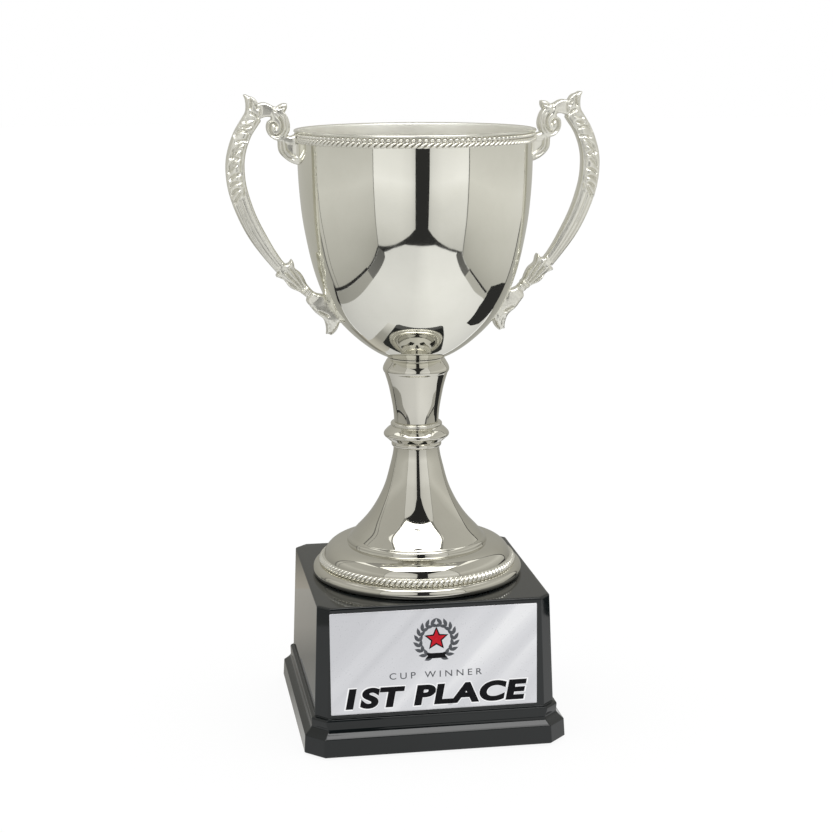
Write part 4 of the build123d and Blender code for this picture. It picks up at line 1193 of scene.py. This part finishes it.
def glow(name, stops, axis=None, lo=0.0, hi=1.0, stops2=None, axis2=None, lo2=0.0, hi2=1.0):
    """Emission with a gradient; stops are (position, (r, g, b)) in linear light.
    A second set of stops along another direction multiplies the first."""
    m = bpy.data.materials.new(name)
    m.use_nodes = True
    t = m.node_tree
    t.nodes.clear()
    out = t.nodes.new("ShaderNodeOutputMaterial")
    em = t.nodes.new("ShaderNodeEmission")
    t.links.new(em.outputs[0], out.inputs[0])
    if len(stops) == 1:
        em.inputs["Color"].default_value = (*stops[0][1], 1)
        return m
    co = t.nodes.new("ShaderNodeTexCoord")

    def band(st, ax, a, b):
        dp = t.nodes.new("ShaderNodeVectorMath")
        dp.operation = "DOT_PRODUCT"
        dp.inputs[1].default_value = ax
        t.links.new(co.outputs["Object"], dp.inputs[0])
        mr = t.nodes.new("ShaderNodeMapRange")
        mr.inputs["From Min"].default_value = a * MM
        mr.inputs["From Max"].default_value = b * MM
        t.links.new(dp.outputs["Value"], mr.inputs["Value"])
        cr = t.nodes.new("ShaderNodeValToRGB")
        els = cr.color_ramp.elements
        while len(els) > 1:
            els.remove(els[-1])
        els[0].position, els[0].color = st[0][0], (*st[0][1], 1)
        for p, c in st[1:]:
            els.new(p).color = (*c, 1)
        t.links.new(mr.outputs["Result"], cr.inputs["Fac"])
        return cr.outputs["Color"]

    col = band(stops, axis, lo, hi)
    if stops2:
        mx = t.nodes.new("ShaderNodeMix")
        mx.data_type = "RGBA"
        mx.blend_type = "MULTIPLY"
        mx.inputs[0].default_value = 1.0
        t.links.new(col, mx.inputs[6])
        t.links.new(band(stops2, axis2, lo2, hi2), mx.inputs[7])
        col = mx.outputs[2]
    t.links.new(col, em.inputs["Color"])
    return m


def card(name, pts, mat, world=False):
    V = [tuple(c * MM for c in p) if world else tent(*p) for p in pts]
    ob = new_mesh_object(name, V, [tuple(range(len(V)))], smooth=False)
    ob.data.materials.append(mat)
    ob.visible_camera = False
    ob.visible_diffuse = False
    ob.visible_shadow = False
    ob.visible_transmission = False
    return ob


Raxis = (Rx, Ry, 0)
Faxis = (Fx, Fy, 0)
Zax = (0, 0, 1)
HW, BF, BB, TOP = 423.0, 430.0, -216.0, 700.0


def g(v, warm=0.0):
    """Neutral level v (linear), tinted warmer by warm."""
    warm += 0.05
    return (v * (1 + 0.02 * warm), v, v * (1 - 0.10 * warm))


DARK = glow("g_dark", [(0.0, g(0.030))])
SEAM = glow("g_seam", [(0.0, g(0.20, 0.5))])
AL, AR, BB, TOP = -392.0, 375.0, -217.0, 700.0
BL, BR = 399.0, 388.0
# floor: a white sweep with darker floor on both sides of it
card("tent_floor", [(-313, BB, -1.0), (340, BB, -1.0), (340, 15, -1.0), (322, 110, -1.0), (312, 300, -1.0), (318, 420, -1.0), (332, 425, -1.0),
                    (234, 487, -1.0), (133, 538, -1.0), (60, 543, -1.0), (-60, 543, -1.0), (-161, 531, -1.0), (-257, 476, -1.0), (-332, 414, -1.0), (-313, 396, -1.0)],
     glow("g_floor", [(0.0, g(0.66)), (0.30, g(0.80)), (0.62, g(0.90)), (1.0, g(0.82))], Faxis, -216, 543,
          [(0.0, g(0.90)), (0.42, g(0.93)), (0.50, g(1.0)), (0.60, g(1.07)), (1.0, g(1.04))], Raxis, -310, 312))
card("tent_floor_l1", [(AL, 220, -1.5), (-313, 214, -1.5), (-313, 400, -1.5), (-332, 415, -1.5), (AL, BL, -1.5)], glow("g_fl1", [(0.0, g(0.19, 0.3)), (1.0, g(0.13, 0.3))], Faxis, 200, 430))
card("tent_floor_l2", [(AL, BB, -1.5), (-313, BB, -1.5), (-313, 214, -1.5), (AL, 220, -1.5)], glow("g_fl2", [(0.0, g(0.32, 0.6)), (1.0, g(0.40, 0.6))], Faxis, -216, 220))
card("tent_floor_r1", [(312, 250, -1.5), (AR, 256, -1.5), (AR, BR + 10, -1.5), (332, 425, -1.5), (312, 420, -1.5)], glow("g_fr1", [(0.0, g(0.16, 0.3)), (1.0, g(0.12, 0.3))], Faxis, 250, 430))
card("tent_floor_r2", [(312, BB, -1.5), (AR, BB, -1.5), (AR, 256, -1.5), (312, 250, -1.5)], glow("g_fr2", [(0.0, g(0.46, 0.6)), (1.0, g(0.50, 0.6))], Faxis, -216, 250))
card("tent_dark_patch", [(182, -22, 0.5), (291, -8, 0.5), (AR, -30, 0.5), (AR, -250, 0.5), (330, -250, 0.5), (223, -158, 0.5), (190, -80, 0.5)], DARK)
card("tent_dark_patch_wall", [(AR - 1.5, -20, 0), (AR - 1.5, -36, 35), (AR - 1.5, -110, 52), (AR - 1.5, -173, 62), (AR - 1.5, -250, 64), (AR - 1.5, -250, 0)], DARK)
# behind and to the left: what the block's left face shows
card("tent_left_glow", [(-112, BB, 0.6), (-64, BB, 0.6), (-64, 60, 0.6), (-112, 60, 0.6)],
     glow("g_lglow", [(0.0, (0.57, 0.55, 0.49)), (0.28, (0.50, 0.48, 0.43)), (0.48, (0.34, 0.33, 0.30)), (0.68, (0.36, 0.355, 0.33)), (1.0, (0.74, 0.73, 0.70))], Faxis, -216, 60))
card("tent_left_glow_wall", [(-130, BB + 1.5, 0.6), (-56, BB + 1.5, 0.6), (-56, BB + 1.5, 60), (-130, BB + 1.5, 60)],
     glow("g_lgwall", [(0.0, (0.57, 0.53, 0.45)), (0.10, (0.48, 0.45, 0.38)), (0.30, (0.22, 0.21, 0.18)), (1.0, (0.30, 0.285, 0.25))], Zax, 0, 90))
# front panels, raised at the middle and cut back at the top
FZ = [(0.0, g(0.58, 0.3)), (0.12, g(0.66, 0.3)), (0.20, g(0.72, 0.25)), (0.32, g(0.79, 0.2)), (0.38, g(0.88, 0.2)), (0.44, g(0.97, 0.1)), (0.60, g(0.82, 0.2)), (1.0, g(0.79, 0.2))]
for sgn, nm, pts, across in ((-1, "l", [(46, 112), (92, 84), (146, 62), (208, 41), (299, 16), (345, 6), (-AL, 5), (-AL, 700), (322, 681), (200, 590), (96, 494), (54, 410), (42, 392)],
                              [(0.0, g(0.78)), (0.10, g(0.92)), (0.35, g(1.0)), (1.0, g(1.01))]),
                             (1, "r", [(46, 112), (80, 87), (122, 66), (169, 50), (240, 28), (297, 13), (340, 5), (AR, 5), (AR, 720), (308, 712), (235, 620), (173, 529), (110, 450), (75, 398), (56, 376)],
                              [(0.0, g(0.76)), (0.10, g(0.88)), (0.35, g(0.98)), (1.0, g(1.04))])):
    hw = -AL if sgn < 0 else AR
    bc = BL if sgn < 0 else BR
    card("tent_front_" + nm, [(sgn * a, 430 if a < 330 else 430 + (bc - 430) * (a - 330) / (hw - 330), z) for a, z in pts],
         glow("g_front_" + nm, FZ, Zax, 0, 500, across, (sgn * Rx, sgn * Ry, 0), 46, 330))
card("tent_beyond", [(-700, 640, -90), (700, 640, -90), (700, 640, 1100), (-700, 640, 1100)], DARK)
card("tent_beyond_floor", [(-700, 543, -3), (700, 543, -3), (700, 640, -3), (-700, 640, -3)], DARK)
card("tent_beyond_floor2", [(-700, 400, -4), (700, 400, -4), (700, 545, -4), (-700, 545, -4)], DARK)
card("tent_beyond_top", [(-700, 425, 1100), (700, 425, 1100), (700, 640, 1100), (-700, 640, 1100)], DARK)
WALL_L = [(0.0, g(0.40, 0.7)), (0.10, g(0.47, 0.65)), (0.20, g(0.55, 0.6)), (0.28, g(0.61, 0.55)), (0.34, g(0.68, 0.5)), (0.46, g(0.57, 0.6)), (1.0, g(0.55, 0.6))]
WALL_R = [(0.0, g(0.42, 0.7)), (0.10, g(0.52, 0.65)), (0.20, g(0.62, 0.6)), (0.28, g(0.70, 0.55)), (0.34, g(0.77, 0.5)), (0.46, g(0.62, 0.6)), (1.0, g(0.58, 0.6))]
card("tent_left", [(AL, BB, 0), (AL, BL, 0), (AL, BL, TOP), (AL, BB, TOP)], glow("g_left", WALL_L, Zax, 0, 640))
card("tent_right", [(AR, -250, 0), (AR, BR, 0), (AR, BR, TOP + 20), (AR, -250, TOP + 20)], glow("g_right", WALL_R, Zax, 0, 640))
card("tent_back", [(AL, BB, 0), (AR, -250, 0), (AR, -250, TOP), (AL, BB, TOP)], glow("g_back", [(0.0, g(0.34, 0.8)), (0.3, g(0.46, 0.8)), (0.7, g(0.56, 0.7)), (1.0, g(0.60, 0.6))], Zax, 0, 600))
# seams: corners, and the dark line where the side walls meet the floor
for nm, a0, b0, a1, b1, z0, z1, mt in (("s_lf", AL + 1, BL - 8, AL + 1, BL, 0, TOP, SEAM), ("s_rf", AR - 1, BR - 12, AR - 1, BR, 0, TOP, SEAM),
                                       ("s_lb", AL + 1, BB, AL + 1, BB + 22, 0, TOP, SEAM), ("s_rb", 352, -248, AR - 2, -249, 0, TOP, DARK),
                                       ("s_lw", AL + 1.5, BB, AL + 1.5, 220, 0, 13, DARK), ("s_rw", AR - 1.6, -10, AR - 1.6, 256, 0, 9, DARK),
                                       ("s_lw2", AL + 1.4, 220, AL + 1.4, BL, 0, 7, DARK),
                                       ("s_lm", AL + 1, -150, AL + 1, -143, 0, TOP, SEAM), ("s_bl", AL, BB + 1, -290, BB + 1, 0, 30, DARK)):
    card("tent_" + nm, [(a0, b0, z0), (a1, b1, z0), (a1, b1, z1), (a0, b0, z1)], mt)
# the upper back part of both walls, lit from above
GLW = glow("g_wallglow", [(0.0, g(1.5, 0.3))])
card("tent_glow_l", [(AL + 1.3, 95, TOP - 1), (AL + 1.3, 20, 640), (AL + 1.3, BB + 1, 520), (AL + 1.3, BB + 1, TOP - 1)], GLW)
card("tent_glow_r", [(AR - 1.3, 158, TOP - 1), (AR - 1.3, 60, 640), (AR - 1.3, BB + 1, 520), (AR - 1.3, BB + 1, TOP - 1)], GLW)
# roof: a bright diffuser from wall to wall, a dark gap before the front panels
card("tent_roof", [(AL + 2, BB, TOP + 2), (-367, 88, TOP + 2), (-362, 171, TOP + 2), (-342, 345, TOP + 2), (-312, 400, TOP + 2), (-189, 411, TOP + 2), (-33, 421, TOP + 2),
                   (185, 419, TOP + 2), (297, 412, TOP + 2), (306, 385, TOP + 2), (334, 232, TOP + 2), (354, 158, TOP + 2), (AR - 2, -250, TOP + 2)], glow("g_roof", [(0.0, g(0.34, 0.5)), (0.425, g(0.45, 0.5)), (0.455, g(2.3, 0.2)), (0.68, g(2.5, 0.2)), (0.715, g(4.8)), (1.0, g(4.8))], Faxis, -217, 420))
card("tent_roof_edge", [(AL, BB, TOP + 6), (AR, BB, TOP + 6), (AR, 430, TOP + 6), (AL, 430, TOP + 6)], glow("g_roofb", [(0.0, g(0.30, 0.6))]))
card("tent_lens", [(-22 + 74 * math.cos(q * math.pi / 12), 331 + 13 * math.sin(q * math.pi / 12), TOP - 4) for q in range(24)], DARK)

# visible floor: pale and nearly shadowless
fm = bpy.data.materials.new("floor_white")
fm.use_nodes = True
ft = fm.node_tree
ft.nodes.clear()
fo = ft.nodes.new("ShaderNodeOutputMaterial")
mx = ft.nodes.new("ShaderNodeMixShader")
mx.inputs[0].default_value = 0.12
em = ft.nodes.new("ShaderNodeEmission")
em.inputs["Color"].default_value = (1, 1, 1, 1)
em.inputs["Strength"].default_value = 1.02
df = ft.nodes.new("ShaderNodeBsdfDiffuse")
df.inputs["Color"].default_value = (0.95, 0.95, 0.95, 1)
ft.links.new(em.outputs[0], mx.inputs[1])
ft.links.new(df.outputs[0], mx.inputs[2])
ft.links.new(mx.outputs[0], fo.inputs[0])
floor = new_mesh_object("floor", [(-6, -6, -0.0004), (6, -6, -0.0004), (6, 6, -0.0004), (-6, 6, -0.0004)], [(0, 1, 2, 3)], smooth=False)
floor.data.materials.append(fm)
floor.visible_glossy = False

world = bpy.data.worlds.new("studio")
bpy.context.scene.world = world
world.use_nodes = True
wt = world.node_tree
bg = wt.nodes["Background"]
bg.inputs["Color"].default_value = (1.0, 1.0, 1.0, 1)
bg.inputs["Strength"].default_value = 1.0

cam_data = bpy.data.cameras.new("camera")
cam = bpy.data.objects.new("camera", cam_data)
bpy.context.scene.collection.objects.link(cam)
rt = Vector((0.9868906, -0.1613241, -0.00463387))
upv = Vector((0.03819394, 0.20556, 0.97789892))
fwv = Vector((0.15680612, 0.96525625, -0.20902684))
cam.matrix_world = Matrix(((rt.x, upv.x, -fwv.x, -0.148634), (rt.y, upv.y, -fwv.y, -0.915641), (rt.z, upv.z, -fwv.z, 0.356530), (0, 0, 0, 1)))
cam_data.sensor_fit = "HORIZONTAL"
cam_data.sensor_width = 36.0
cam_data.lens = 78.922
cam_data.clip_start = 0.01
cam_data.clip_end = 50.0
bpy.context.scene.camera = cam
bpy.context.scene.view_settings.view_transform = "Standard"
bpy.context.scene.view_settings.look = "None"
bpy.context.scene.view_settings.exposure = 0.0
bpy.context.scene.view_settings.gamma = 1.0
